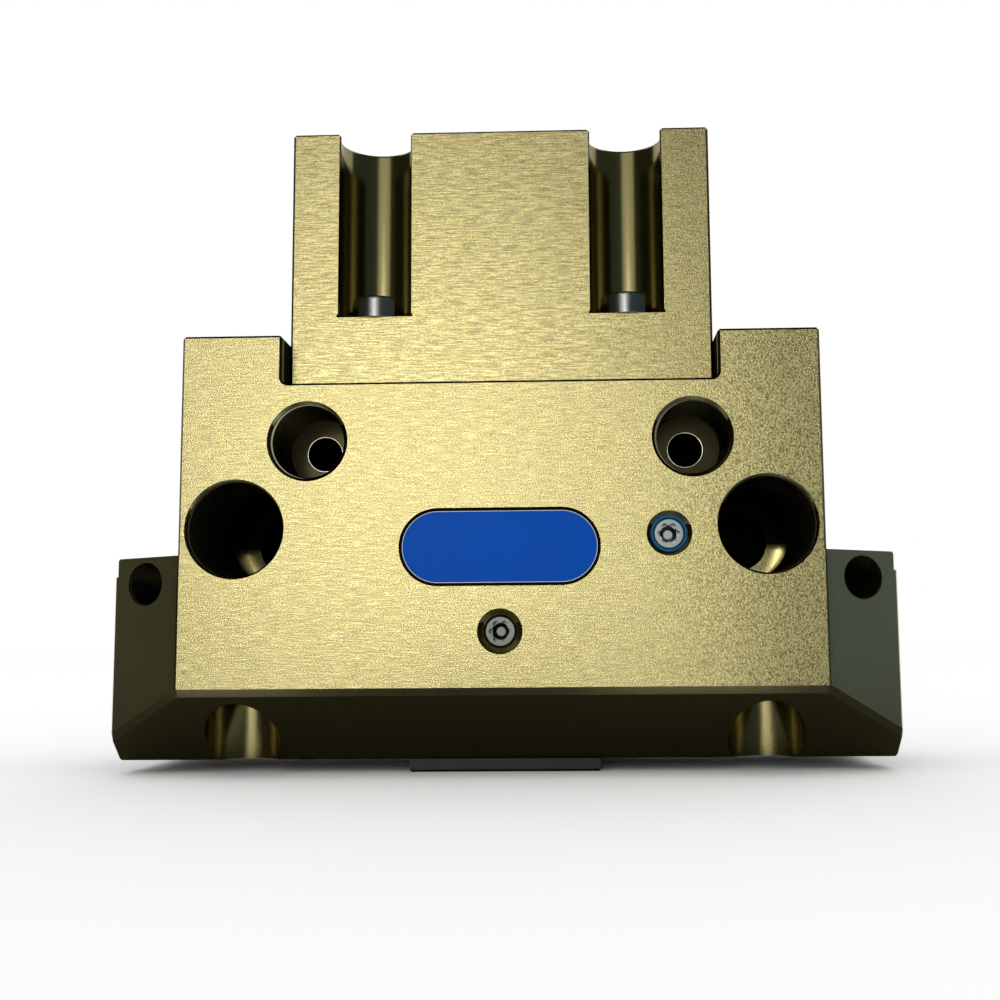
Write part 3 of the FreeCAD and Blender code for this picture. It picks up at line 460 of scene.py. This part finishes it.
def alloy_finish(name, half_width, half_guide, half_depth, top, ledge, bore_level, brushing, painted_shade_factor):
    """Gold anodised alloy: blasted and brushed planes, smooth walls and satin facets; with painted shade in
    the deep holes and on the mouths' bevels, painted light on the bores' shoulder and the ports' floors, and
    the right-facing facets painted lighter.
    """
    tones = bpy.context.scene.gripper_colours
    material, tree, shader, place = new_finish(name)
    shader.inputs["Specular IOR Level"].default_value = 0.0
    normal = put(tree, "NewGeometry").outputs["True Normal"]
    axes = put(tree, "SeparateXYZ", {0: place}).outputs
    tilt = put(tree, "SeparateXYZ", {0: normal}).outputs
    facing = sums(tree, "ABSOLUTE", tilt[1])
    mask = group(tree, "Flat faces", position=place, normal=normal, half_width=half_width,
                 half_guide=half_guide, half_depth=half_depth, top=top, ledge=ledge)["Mask"]
    smudge = group(tree, "Smudges", position=place, scale=SMUDGE_SCALE)["Value"]
    tone = face_grain(tree, place, axes, brushing)
    satin = satin_facets(tree, axes, tilt, facing, half_width)

    # Holes: painted shade on the walls, the recess floors and the broken edges at the mouths, and painted
    # light on the bores' shoulder
    near = shoulder_painted_light(tree, axes)
    deep = painted_hole_shade(tree, axes, facing, half_depth, bore_level, near)
    deep = sums(tree, "MULTIPLY", deep, unless(tree, sums(tree, "MAXIMUM", satin, mask)))
    mouth = sums(tree, "GREATER_THAN", sums(tree, "ABSOLUTE", axes[1]), half_depth - MOUTH_DEPTH)
    recess = sums(tree, "SUBTRACT", sums(tree, "GREATER_THAN", facing, 0.97), mask)
    deep = sums(tree, "MAXIMUM", deep, sums(tree, "MULTIPLY", recess, mouth))
    bevel = sums(tree, "MULTIPLY", sums(tree, "COMPARE", facing, 0.7, 0.15), mouth)
    shoulder = sums(tree, "MULTIPLY", near, around(tree, axes, BORE_X, BORE_Z, BORE_REACH))

    # Colours by place, with painted light and shade: the deep holes are painted dark, matt and no metal, so
    # that no light runs along their walls
    rightward = sums(tree, "GREATER_THAN", tilt[0], 0.3)
    plain = mixed(tree, bevel, tones.gold_wall, tones.gold_bevel_painted_shade)
    # Painted highlight: the low part of the bores' shoulder takes the light crest colour of the grain.
    plain = mixed(tree, shoulder, plain, tones.gold_high)
    # Painted light: right-facing facets take a lighter, greyer colour than left-facing ones.
    facet = mixed(tree, rightward, tones.gold_satin, tones.gold_satin_painted_right_light)
    wall = mixed(tree, deep, mixed(tree, satin, plain, facet), tones.gold_bore_painted_shade)
    base = mixed(tree, mask, wall, mixed(tree, tone, tones.gold_low, tones.gold_high))
    # The whole colour is scaled by a painted shade factor, darker on the spring housing.
    shade = sums(tree, "MULTIPLY_ADD", smudge, SMUDGE_SWING, painted_shade_factor - SMUDGE_SWING / 2)
    base = put(tree, "VectorMath", {0: base, "Scale": shade}, operation="SCALE").outputs[0]
    feed(tree, shader.inputs["Base Color"], base)
    feed(tree, shader.inputs["Metallic"], unless(tree, deep))

    # Polish and grain
    smooth = spread(tree, satin, WALL_ROUGH, SATIN_ROUGH)
    feed(tree, shader.inputs["Roughness"], blend(tree, mask, smooth, spread(tree, smudge, *FACE_ROUGH)))
    fine = blend(tree, mask, spread(tree, satin, WALL_GRAIN, SATIN_GRAIN), 1.0)
    bump(tree, shader, sums(tree, "MULTIPLY", tone, fine), 1.0, GRAIN_DEPTH)
    return material


def weather(tree, shader, base, contrast, marks, smudge, rough, swing):
    """Colour between a dark and a light tone of the base, and a roughness that follows the smudges."""
    low, high = (tuple(min(1.0, factor * value) for value in base) for factor in contrast)
    feed(tree, shader.inputs["Base Color"], mixed(tree, marks, low, high))
    feed(tree, shader.inputs["Roughness"], spread(tree, smudge, rough - swing, rough + swing))


def brushed_finish(name, base, rough, line_scale):
    """Ground or drawn metal with fine lines along X."""
    material, tree, shader, place = new_finish(name)
    shader.inputs["Metallic"].default_value = 1.0
    lines = group(tree, "Machined grain", position=place, line_scale=line_scale)["Lines"]
    smudge = group(tree, "Smudges", position=place, scale=60.0)["Value"]
    marks = weigh(tree, 0.6, lines, smudge)
    weather(tree, shader, base, (0.72, 1.18), marks, smudge, rough, swing=0.07)
    bump(tree, shader, lines, 0.3, 0.01 * MM)
    return material


def turned_finish(name, base, rough, centre=(0.0, 0.0, 0.0), turn=0.0, scale=5000.0):
    """Turned metal with rings round its axis."""
    material, tree, shader, place = new_finish(name)
    shader.inputs["Metallic"].default_value = 1.0
    settled = put(tree, "Mapping", {"Vector": place, "Location": centre, "Rotation": (turn, 0.0, 0.0)},
                  vector_type="TEXTURE").outputs[0]
    rings = group(tree, "Turned rings", position=settled, scale=scale)["Value"]
    smudge = group(tree, "Smudges", position=place, scale=240.0)["Value"]
    marks = weigh(tree, 0.6, rings, smudge)
    weather(tree, shader, base, (0.6, 1.3), marks, smudge, rough, swing=0.08)
    bump(tree, shader, rings, 0.3, 0.012 * MM)
    return material


def porous_finish(name, base, rough, scale, metallic):
    """Sintered metal, rubber, plastic or oxide with fine pits."""
    material, tree, shader, place = new_finish(name)
    shader.inputs["Metallic"].default_value = metallic
    pores = group(tree, "Pores", position=place, scale=scale)["Value"]
    smudge = group(tree, "Smudges", position=place, scale=90.0)["Value"]
    marks = weigh(tree, 0.5, pores, smudge)
    weather(tree, shader, base, (0.65, 1.25), marks, smudge, rough, swing=0.08)
    bump(tree, shader, pores, 0.25, 0.02 * MM)
    return material


def film_finish(name, base, rough, gloss):
    """Printed film or cured sealant: even colour with a slight haze."""
    material, tree, shader, place = new_finish(name)
    shader.inputs["Specular IOR Level"].default_value = gloss
    smudge = group(tree, "Smudges", position=place, scale=110.0)["Value"]
    weather(tree, shader, base, (0.88, 1.1), smudge, smudge, rough, swing=0.06)
    bump(tree, shader, smudge, 0.1, 0.02 * MM)
    return material


def paper_finish(name, base):
    """Matt paper of the stage."""
    material, tree, shader, place = new_finish(name)
    shader.inputs["Base Color"].default_value = (*base, 1.0)
    shader.inputs["Roughness"].default_value = 0.9
    shader.inputs["Specular IOR Level"].default_value = 0.0
    return material


# Pieces

def wear(material, *nodes):
    """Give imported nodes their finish."""
    for name in nodes:
        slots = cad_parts[name].material_slots
        if not slots:
            raise RuntimeError(f"node {name} has no material slot")
        for slot in slots:
            slot.material = material


def clear_selection():
    """Leave object mode with nothing selected."""
    if bpy.context.object and bpy.context.object.mode != "OBJECT":
        bpy.ops.object.mode_set(mode="OBJECT")
    bpy.ops.object.select_all(action="DESELECT")


def name_piece(name):
    """The object just added, under its own name."""
    piece = bpy.context.object
    piece.name = name
    piece.data.name = name
    return piece


def choose(piece, test):
    """In edit mode, select the points that pass the test."""
    mesh = bmesh.from_edit_mesh(piece.data)
    for vertex in mesh.verts:
        vertex.select_set(test(vertex.co))
    mesh.select_flush(True)
    bmesh.update_edit_mesh(piece.data)


def profile(name, points, size, centre):
    """A small closed outline in the XZ plane, with its first point towards the Z axis."""
    clear_selection()
    bpy.ops.mesh.primitive_circle_add(vertices=points, radius=1.0,
                                      rotation=(math.pi / 2, -math.pi / 2, 0.0))
    piece = name_piece(name)
    bpy.ops.object.transform_apply(location=True, rotation=True, scale=True)
    bpy.ops.object.mode_set(mode="EDIT")
    bpy.ops.mesh.select_all(action="SELECT")
    bpy.ops.transform.resize(value=(size[0], 1.0, size[1]), center_override=(0.0, 0.0, 0.0))
    bpy.ops.transform.translate(value=(centre[0], 0.0, centre[1]))
    bpy.ops.object.mode_set(mode="OBJECT")
    return piece


def sweep(piece, turns, climb):
    """Turn an outline round the Z axis, climbing with each turn."""
    steps = bpy.context.scene.gripper_sizes.turn_steps
    screw = piece.modifiers.new("Sweep", "SCREW")
    screw.axis = "Z"
    screw.angle = 2 * math.pi * turns
    screw.screw_offset = climb * turns
    screw.steps = screw.render_steps = math.ceil(steps * turns)
    screw.use_merge_vertices = climb == 0
    screw.merge_threshold = SWEEP_MERGE
    screw.use_smooth_shade = True
    bpy.ops.object.modifier_apply(modifier=screw.name)


def trim(cuts):
    """Cut the piece off along planes, close the cuts and turn the faces outwards."""
    bpy.ops.object.mode_set(mode="EDIT")
    for point, outward in cuts:
        bpy.ops.mesh.select_all(action="SELECT")
        bpy.ops.mesh.bisect(plane_co=point, plane_no=outward, clear_outer=True, threshold=CUT_MERGE)
    bpy.ops.mesh.select_all(action="SELECT")
    bpy.ops.mesh.remove_doubles(threshold=TRIM_MERGE)
    bpy.ops.mesh.fill_holes(sides=0)
    bpy.ops.mesh.select_all(action="SELECT")
    bpy.ops.mesh.normals_make_consistent(inside=False)
    bpy.ops.object.mode_set(mode="OBJECT")


def settle(piece, place, turn=UNTURNED):
    """Turn and move the piece to its place, and keep that in its mesh."""
    piece.rotation_euler = turn
    piece.location = place
    bpy.ops.object.transform_apply(location=True, rotation=True, scale=True)
    bpy.ops.object.shade_smooth_by_angle(angle=math.radians(40))


def dress(piece, material, body):
    """Finish the piece and let it move with its body."""
    piece.data.materials.append(material)
    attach(piece, body)


def add_thread(name, radius, ridge, pitch, cuts, place, turn):
    """A helical ridge on the wall of a hole along Z, cut at its ends and then put in place."""
    sizes = bpy.context.scene.gripper_sizes
    depth = ridge + sizes.thread_sink
    base = radius + sizes.thread_sink
    size = (depth / TRIANGLE_HEIGHT, RIDGE_HALF * pitch / TRIANGLE_HALF)
    piece = profile(name, 3, size, (base - depth / 3, 0.0))
    low = min(point[2] for point, outward in cuts)
    high = max(point[2] for point, outward in cuts)
    reach = radius + 2 * pitch
    turns = math.ceil((high - low + 2 * reach) / pitch)
    bpy.ops.object.mode_set(mode="EDIT")
    bpy.ops.mesh.select_all(action="SELECT")
    bpy.ops.transform.translate(value=(0.0, 0.0, low - reach))
    bpy.ops.object.mode_set(mode="OBJECT")
    sweep(piece, turns, pitch)
    trim(cuts)
    settle(piece, place, turn)
    return piece


def level_cuts(low, high):
    """Two level planes that cut a thread or a spring to its length."""
    return [((0.0, 0.0, low), (0.0, 0.0, -1.0)), ((0.0, 0.0, high), (0.0, 0.0, 1.0))]


def add_ring(name, points, radius, size, place, turn):
    """A ring of a small section round its own axis."""
    piece = profile(name, points, size, (radius, 0.0))
    sweep(piece, 1, 0.0)
    trim([])
    settle(piece, place, turn)
    return piece


class GRIPPER_OT_housings(bpy.types.Operator):
    """Finish the housing, the spring housing and its cap"""
    bl_idname = "gripper.housings"
    bl_label = "Housings"

    half_width = 50 * MM
    notch = 7.75 * MM
    flange = 4.0 * MM
    bore_level = -50 * MM

    def execute(self, context):
        tones = context.scene.gripper_colours
        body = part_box("housing")[1]
        gold = alloy_finish("gold_housing", half_width=self.half_width, half_guide=body.x, half_depth=body.y,
                            top=body.z, ledge=self.notch, bore_level=self.bore_level, brushing=0.3, painted_shade_factor=1.0)
        wear(gold, "housing")
        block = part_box("spring_housing")[1]
        # Painted shade: the spring housing's colours are scaled down to 0.86, darker than the housing.
        gold = alloy_finish("gold_spring_housing", half_width=block.x, half_guide=block.x, half_depth=block.y,
                            top=block.z, ledge=self.flange, bore_level=block.z, brushing=0.5, painted_shade_factor=0.86)
        wear(gold, "spring_housing")
        middle = tuple((low + up) / 2 for low, up in zip(tones.gold_low, tones.gold_high))
        wear(turned_finish("gold_cap", middle, rough=0.4), "spring_chamber_cap")
        return {"FINISHED"}


class GRIPPER_OT_ports(bpy.types.Operator):
    """Cut the air ports' threads and bare the rims of their inner holes"""
    bl_idname = "gripper.ports"
    bl_label = "Air ports"

    port_radius = 5.9 * MM
    inner_radius = 2.85 * MM
    mouth_y = -24.35 * MM
    floor_gap = 0.27 * MM
    rim_points = 8

    def execute(self, context):
        sizes = context.scene.gripper_sizes
        tones = context.scene.gripper_colours
        # The threads' darker colour is painted shade in the holes.
        wall = turned_finish("gold_thread_painted_shade", tones.gold_thread_painted_shade, rough=0.26)
        bare = turned_finish("bare_rim", tones.bare_rim, rough=0.25)
        section = sizes.rim_section
        cuts = level_cuts(-PORT_FLOOR_Y + self.floor_gap, -self.mouth_y)
        for side, way in SIDES:
            thread = add_thread(f"{side}_port_thread", self.port_radius, sizes.port_ridge, sizes.port_pitch,
                                cuts, (way * PORT_X, 0.0, PORT_Z), FRONT)
            dress(thread, wall, "housing")
            rim = add_ring(f"{side}_port_rim", self.rim_points, self.inner_radius + section / 2,
                           (section, section / 2), (way * PORT_X, PORT_FLOOR_Y, PORT_Z), FRONT)
            dress(rim, bare, "housing")
        return {"FINISHED"}


class GRIPPER_OT_wing_threads(bpy.types.Operator):
    """Cut the threads that run through the wings"""
    bl_idname = "gripper.wing_threads"
    bl_label = "Wing threads"

    hole_x = 56.25 * MM
    hole_z = -38.9 * MM
    hole_radius = 3.4 * MM
    mouth_y = 20.2 * MM
    facet = (0.5, 0.866)

    def execute(self, context):
        sizes = context.scene.gripper_sizes
        wall = bpy.data.materials["gold_thread_painted_shade"]
        sideways, outward = self.facet
        for side, way in SIDES:
            cuts = [((0.0, 0.0, face * self.mouth_y), (way * sideways, 0.0, face * outward))
                    for face in (-1, 1)]
            thread = add_thread(f"{side}_wing_thread", self.hole_radius, sizes.screw_ridge, sizes.screw_pitch,
                                cuts, (way * self.hole_x, 0.0, self.hole_z), FRONT)
            dress(thread, wall, "housing")
        return {"FINISHED"}


class GRIPPER_OT_shoulder_threads(bpy.types.Operator):
    """Cut the four mounting threads in the shoulders"""
    bl_idname = "gripper.shoulder_threads"
    bl_label = "Shoulder threads"

    hole_x = 41.25 * MM
    hole_y = 17.4 * MM
    hole_radius = 3.4 * MM
    bottom_z = -22.0 * MM
    mouth_z = -0.5 * MM

    def execute(self, context):
        sizes = context.scene.gripper_sizes
        wall = bpy.data.materials["gold_thread_painted_shade"]
        for side, way in SIDES:
            for face, out in FACES:
                thread = add_thread(f"{face}_{side}_shoulder_thread", self.hole_radius, sizes.screw_ridge,
                                    sizes.screw_pitch, level_cuts(self.bottom_z, self.mouth_z),
                                    (way * self.hole_x, out * self.hole_y, 0.0), UNTURNED)
                dress(thread, wall, "housing")
        return {"FINISHED"}


class GRIPPER_OT_nameplate(bpy.types.Operator):
    """Finish the blank nameplate and lay its pale edge, a painted glint along the film"""
    bl_idname = "gripper.nameplate"
    bl_label = "Nameplate"

    corner_points = 64

    def execute(self, context):
        sizes = context.scene.gripper_sizes
        tones = context.scene.gripper_colours
        wear(film_finish("blue_film", tones.film, rough=0.3, gloss=0.03), "nameplate")
        low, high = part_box("nameplate")
        radius = (high.z - low.z) / 2
        straight = (high.x - low.x) / 2 - radius
        clear_selection()
        bpy.ops.mesh.primitive_circle_add(vertices=self.corner_points, radius=radius,
                                          rotation=(0.0, 0.0, math.pi / self.corner_points))
        piece = name_piece("nameplate_border")
        bpy.ops.object.transform_apply(location=True, rotation=True, scale=True)
        bpy.ops.object.mode_set(mode="EDIT")
        for way in (-1, 1):
            choose(piece, lambda place: place.x * way > 0)
            bpy.ops.transform.translate(value=(way * straight, 0.0, 0.0))
        bpy.ops.mesh.select_all(action="SELECT")
        bpy.ops.mesh.edge_face_add()
        bpy.ops.mesh.inset(thickness=sizes.border_width, depth=0.0)
        bpy.ops.mesh.delete(type="ONLY_FACE")
        bpy.ops.mesh.select_all(action="SELECT")
        bpy.ops.mesh.extrude_region_move(TRANSFORM_OT_translate={"value": (0.0, 0.0, sizes.border_rise)})
        bpy.ops.mesh.select_all(action="SELECT")
        bpy.ops.mesh.normals_make_consistent(inside=False)
        bpy.ops.object.mode_set(mode="OBJECT")
        settle(piece, (0.0, low.y, (low.z + high.z) / 2), FRONT)
        # Painted highlight: a pale, glossy edge for the glints along the film.
        edge = film_finish("painted_glint_edge", tones.film_edge_painted_glint, rough=0.4, gloss=0.5)
        dress(piece, edge, "housing")
        return {"FINISHED"}


class GRIPPER_OT_plugs(bpy.types.Operator):
    """Finish the two sealing plugs and lay the sealant of the feed plug"""
    bl_idname = "gripper.plugs"
    bl_label = "Sealing plugs"

    ring_scale = 9000.0
    bead_points = 12
    lump_size = 0.9 * MM
    lump_height = 0.2 * MM

    def execute(self, context):
        sizes = context.scene.gripper_sizes
        tones = context.scene.gripper_colours
        for name in ("feed_plug", "grease_plug"):
            low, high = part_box(name)
            centre = ((low.x + high.x) / 2, 0.0, (low.z + high.z) / 2)
            wear(turned_finish(f"{name}_steel", getattr(tones, name), rough=0.3, centre=centre,
                               turn=math.pi / 2, scale=self.ring_scale), name)
        low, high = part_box("feed_plug")
        radius = (high.x - low.x) / 2
        middle = Vector(((low.x + high.x) / 2, low.y, (low.z + high.z) / 2))
        bead = sizes.sealant_section
        middle.y -= bead / 2
        ring = add_ring("feed_plug_sealant", self.bead_points, radius + bead / 2, (bead, bead), middle, FRONT)
        lumps = bpy.data.textures.new("sealant_lumps", "CLOUDS")
        lumps.noise_scale = self.lump_size
        swell = ring.modifiers.new("Lumps", "DISPLACE")
        swell.texture = lumps
        swell.strength = self.lump_height
        swell.mid_level = 0.5
        clear_selection()
        ring.select_set(True)
        context.view_layer.objects.active = ring
        bpy.ops.object.modifier_apply(modifier=swell.name)
        sealant = film_finish("blue_sealant", tones.sealant, rough=0.3, gloss=0.2)
        dress(ring, sealant, "housing")
        return {"FINISHED"}


class GRIPPER_OT_cover_plate(bpy.types.Operator):
    """Finish the cover plate over the jaw slot"""
    bl_idname = "gripper.cover_plate"
    bl_label = "Cover plate"

    def execute(self, context):
        tones = context.scene.gripper_colours
        wear(porous_finish("black_oxide", tones.cover, rough=0.42, scale=2600.0, metallic=0.6), "cover_plate")
        return {"FINISHED"}


class GRIPPER_OT_screws(bpy.types.Operator):
    """Finish the screws"""
    bl_idname = "gripper.screws"
    bl_label = "Screws"

    def execute(self, context):
        tones = context.scene.gripper_colours
        wear(porous_finish("dark_screw_steel", tones.screw, rough=0.24, scale=3600.0, metallic=1.0),
             "cover_plate_screws", "spring_housing_screws", "spring_plate_screw")
        return {"FINISHED"}


class GRIPPER_OT_seals(bpy.types.Operator):
    """Finish the seals"""
    bl_idname = "gripper.seals"
    bl_label = "Seals"

    def execute(self, context):
        tones = context.scene.gripper_colours
        wear(porous_finish("black_rubber", tones.rubber, rough=0.62, scale=3000.0, metallic=0.0),
             "spigot_seal", "cap_seal", "lower_rod_seal", "upper_rod_seal", "piston_seal", "stud_seal")
        return {"FINISHED"}


class GRIPPER_OT_bushes(bpy.types.Operator):
    """Finish the bronze bushes, the vent filter and the retaining ring"""
    bl_idname = "gripper.bushes"
    bl_label = "Bushes and filter"

    def execute(self, context):
        tones = context.scene.gripper_colours
        wear(porous_finish("bronze_bush", tones.bronze, rough=0.36, scale=2800.0, metallic=1.0),
             "lower_rod_bush", "upper_rod_bush")
        wear(porous_finish("bronze_filter", tones.bronze, rough=0.5, scale=1600.0, metallic=1.0),
             "vent_filter")
        wear(porous_finish("phosphated_ring", tones.ring, rough=0.46, scale=3200.0, metallic=1.0),
             "cap_retaining_ring")
        return {"FINISHED"}


class GRIPPER_OT_drive(bpy.types.Operator):
    """Finish the piston, its guide ring, the hook and the rods"""
    bl_idname = "gripper.drive"
    bl_label = "Drive"

    def execute(self, context):
        tones = context.scene.gripper_colours
        wear(turned_finish("turned_piston", tones.piston, rough=0.3), "piston")
        wear(turned_finish("turned_rod", tones.drive, rough=0.24), "pull_rod", "spring_plate")
        wear(brushed_finish("ground_hook", tones.drive, rough=0.28, line_scale=4200.0), "wedge_hook")
        wear(porous_finish("guide_plastic", tones.guide, rough=0.5, scale=2400.0, metallic=0.0),
             "piston_guide_ring")
        return {"FINISHED"}


class GRIPPER_OT_jaws(bpy.types.Operator):
    """Finish the base jaws and cut their finger threads"""
    bl_idname = "gripper.jaws"
    bl_label = "Base jaws"

    hole_xs = (48 * MM, 28 * MM)
    hole_radius = 2.5 * MM
    mouth_z = -64.2 * MM
    bottom_z = -54.2 * MM

    def execute(self, context):
        sizes = context.scene.gripper_sizes
        tones = context.scene.gripper_colours
        steel = brushed_finish("ground_jaw", tones.jaw, rough=0.3, line_scale=4600.0)
        wear(steel, "left_base_jaw", "right_base_jaw")
        for side, way in SIDES:
            for place, x in zip(("outer", "inner"), self.hole_xs):
                thread = add_thread(f"{side}_{place}_finger_thread", self.hole_radius, sizes.finger_ridge,
                                    sizes.finger_pitch, level_cuts(self.mouth_z, self.bottom_z),
                                    (way * x, 0.0, 0.0), UNTURNED)
                dress(thread, steel, f"{side}_jaw")
        return {"FINISHED"}


class GRIPPER_OT_springs(bpy.types.Operator):
    """Wind the two closing springs"""
    bl_idname = "gripper.springs"
    bl_label = "Springs"

    wire_points = 16

    def execute(self, context):
        sizes = context.scene.gripper_sizes
        tones = context.scene.gripper_colours
        steel = brushed_finish("drawn_wire", tones.spring, rough=0.3, line_scale=5200.0)
        for name, wire, turns in (("outer_spring", sizes.outer_wire, sizes.outer_turns),
                                  ("inner_spring", sizes.inner_wire, sizes.inner_turns)):
            low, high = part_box(name)
            radius = (high.x - low.x - wire) / 2
            climb = (high.z - low.z - wire / 2) / turns
            piece = profile(f"{name}_coil", self.wire_points, (wire / 2, wire / 2),
                            (radius, low.z + wire / 4))
            sweep(piece, turns, climb)
            trim(level_cuts(low.z, high.z))
            settle(piece, (0.0, 0.0, 0.0))
            dress(piece, steel, "housing")
            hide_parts(name)
            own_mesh(piece)
        return {"FINISHED"}


class GRIPPER_OT_stage(bpy.types.Operator):
    """Set the floor, the dark cards, the surroundings, the lamp and the camera"""
    bl_idname = "gripper.stage"
    bl_label = "Stage"

    right_card = (math.radians(9), math.radians(100))
    left_card = (math.radians(-105), math.radians(-27))
    lean = math.radians(6)
    right_floor = 47 * MM
    left_floor = -66 * MM
    middle_floor = (-36 * MM, 16 * MM)
    low_card_size = (0.4, 0.051)
    low_card_edge = 10 * MM
    high_card_size = (0.9, 0.9)
    card_gap = 0.05 * MM
    sensor_width = 36.0
    clip_start = 5 * MM

    def add_card(self, name, material, size, turn, place):
        """A dark card that only shows in the metal, and neither to the camera nor in the shade."""
        bpy.ops.mesh.primitive_plane_add(size=1.0, rotation=turn, location=place)
        card = name_piece(name)
        card.scale = (*size, 1.0)
        card.data.materials.append(material)
        card.visible_camera = False
        card.visible_diffuse = False
        card.visible_shadow = False

    def add_floor(self, stage):
        """The pale floor under the object."""
        bpy.ops.mesh.primitive_plane_add(size=stage.floor_size, location=(0.0, 0.0, CAD_BOX[0][2]))
        floor = name_piece("floor")
        floor.data.materials.append(paper_finish("pale_floor", stage.floor_colour))

    def add_cards(self, stage):
        """Dark cards beside the object, in front of it on the floor and above it."""
        dark = paper_finish("dark_card", stage.card_colour)
        cool = paper_finish("cool_card", stage.right_card_colour)
        reach = stage.card_distance
        for name, material, start, end in (("right_card", cool, *self.right_card),
                                           ("left_card", dark, *self.left_card)):
            middle = (start + end) / 2
            width = 2 * reach * math.tan((end - start) / 2)
            away = Vector((math.sin(middle), -math.cos(middle), 0.0)) * reach
            turn = Euler((math.pi / 2, 0.0, middle)).to_matrix() @ Matrix.Rotation(self.lean, 3, "Z")
            self.add_card(name, material, (width, stage.card_height), turn.to_euler(), away)
        ground = CAD_BOX[0][2] + self.card_gap
        start, end = self.middle_floor
        for name, material, width, x in (
                ("right_low_card", cool, reach, self.right_floor + reach / 2),
                ("left_low_card", dark, reach, self.left_floor - reach / 2),
                ("middle_low_card", dark, end - start, (start + end) / 2)):
            place = (x, self.low_card_edge - reach / 2, ground)
            self.add_card(name, material, (width, reach), UNTURNED, place)
        place = (0.0, self.low_card_edge - self.low_card_size[1] / 2, ground + self.card_gap)
        self.add_card("low_card", dark, self.low_card_size, UNTURNED, place)
        self.add_card("high_card", dark, self.high_card_size, UNTURNED, (0.0, 0.0, reach))

    def add_lamp(self, stage):
        """The broad lamp in front."""
        level = math.cos(stage.lamp_elevation)
        aim = Vector((math.sin(stage.lamp_azimuth) * level, -math.cos(stage.lamp_azimuth) * level,
                      math.sin(stage.lamp_elevation)))
        bpy.ops.object.light_add(type="AREA", location=aim * stage.lamp_distance,
                                 rotation=aim.to_track_quat("Z", "Y").to_euler())
        lamp = name_piece("key_lamp").data
        lamp.shape = "ELLIPSE"
        lamp.size = stage.lamp_width
        lamp.size_y = stage.lamp_height
        lamp.energy = stage.lamp_power

    def add_camera(self, stage):
        """The camera; its object."""
        bpy.ops.object.camera_add(location=stage.camera_place, rotation=stage.camera_turn)
        camera = name_piece("photo_camera")
        camera.data.lens = stage.lens
        camera.data.sensor_width = self.sensor_width
        camera.data.shift_x = stage.shift_x
        camera.data.shift_y = stage.shift_y
        camera.data.clip_start = self.clip_start
        return camera

    def execute(self, context):
        stage = context.scene.gripper_stage
        clear_selection()
        self.add_floor(stage)
        self.add_cards(stage)
        world = bpy.data.worlds.new("white_surroundings")
        world.use_nodes = True
        sky = next(node for node in world.node_tree.nodes if node.type == "BACKGROUND")
        sky.inputs["Color"].default_value = (*stage.sky_colour, 1.0)
        sky.inputs["Strength"].default_value = 1.0
        context.scene.world = world
        self.add_lamp(stage)
        context.scene.camera = self.add_camera(stage)
        context.scene.view_settings.view_transform = "Standard"
        return {"FINISHED"}


OPERATORS = (
    GRIPPER_OT_housings, GRIPPER_OT_ports, GRIPPER_OT_wing_threads, GRIPPER_OT_shoulder_threads,
    GRIPPER_OT_nameplate, GRIPPER_OT_plugs, GRIPPER_OT_cover_plate, GRIPPER_OT_screws, GRIPPER_OT_seals,
    GRIPPER_OT_bushes, GRIPPER_OT_drive, GRIPPER_OT_jaws, GRIPPER_OT_springs, GRIPPER_OT_stage,
)


class GRIPPER_PT_pieces(bpy.types.Panel):
    """The gripper's pieces, in the order in which they are made"""
    bl_idname = "GRIPPER_PT_pieces"
    bl_label = "Gripper"
    bl_space_type = "VIEW_3D"
    bl_region_type = "UI"
    bl_category = "Gripper"

    def draw(self, context):
        for operator in OPERATORS:
            self.layout.operator(operator.bl_idname)
        for name, kind in SETTINGS.items():
            for key in kind.__annotations__:
                self.layout.prop(getattr(context.scene, name), key)


SETTINGS = {"gripper_sizes": GripperSizes, "gripper_colours": GripperColours, "gripper_stage": GripperStage}
CLASSES = (*SETTINGS.values(), *OPERATORS, GRIPPER_PT_pieces)


def register():
    for entry in CLASSES:
        bpy.utils.register_class(entry)
    for name, kind in SETTINGS.items():
        setattr(bpy.types.Scene, name, PointerProperty(type=kind))


def unregister():
    for name in SETTINGS:
        delattr(bpy.types.Scene, name)
    for entry in reversed(CLASSES):
        bpy.utils.unregister_class(entry)


def main():
    register()
    for build in EFFECTS:
        build()
    for operator in OPERATORS:
        family, name = operator.bl_idname.split(".")
        getattr(getattr(bpy.ops, family), name)()


if __name__ == "__main__":
    main()
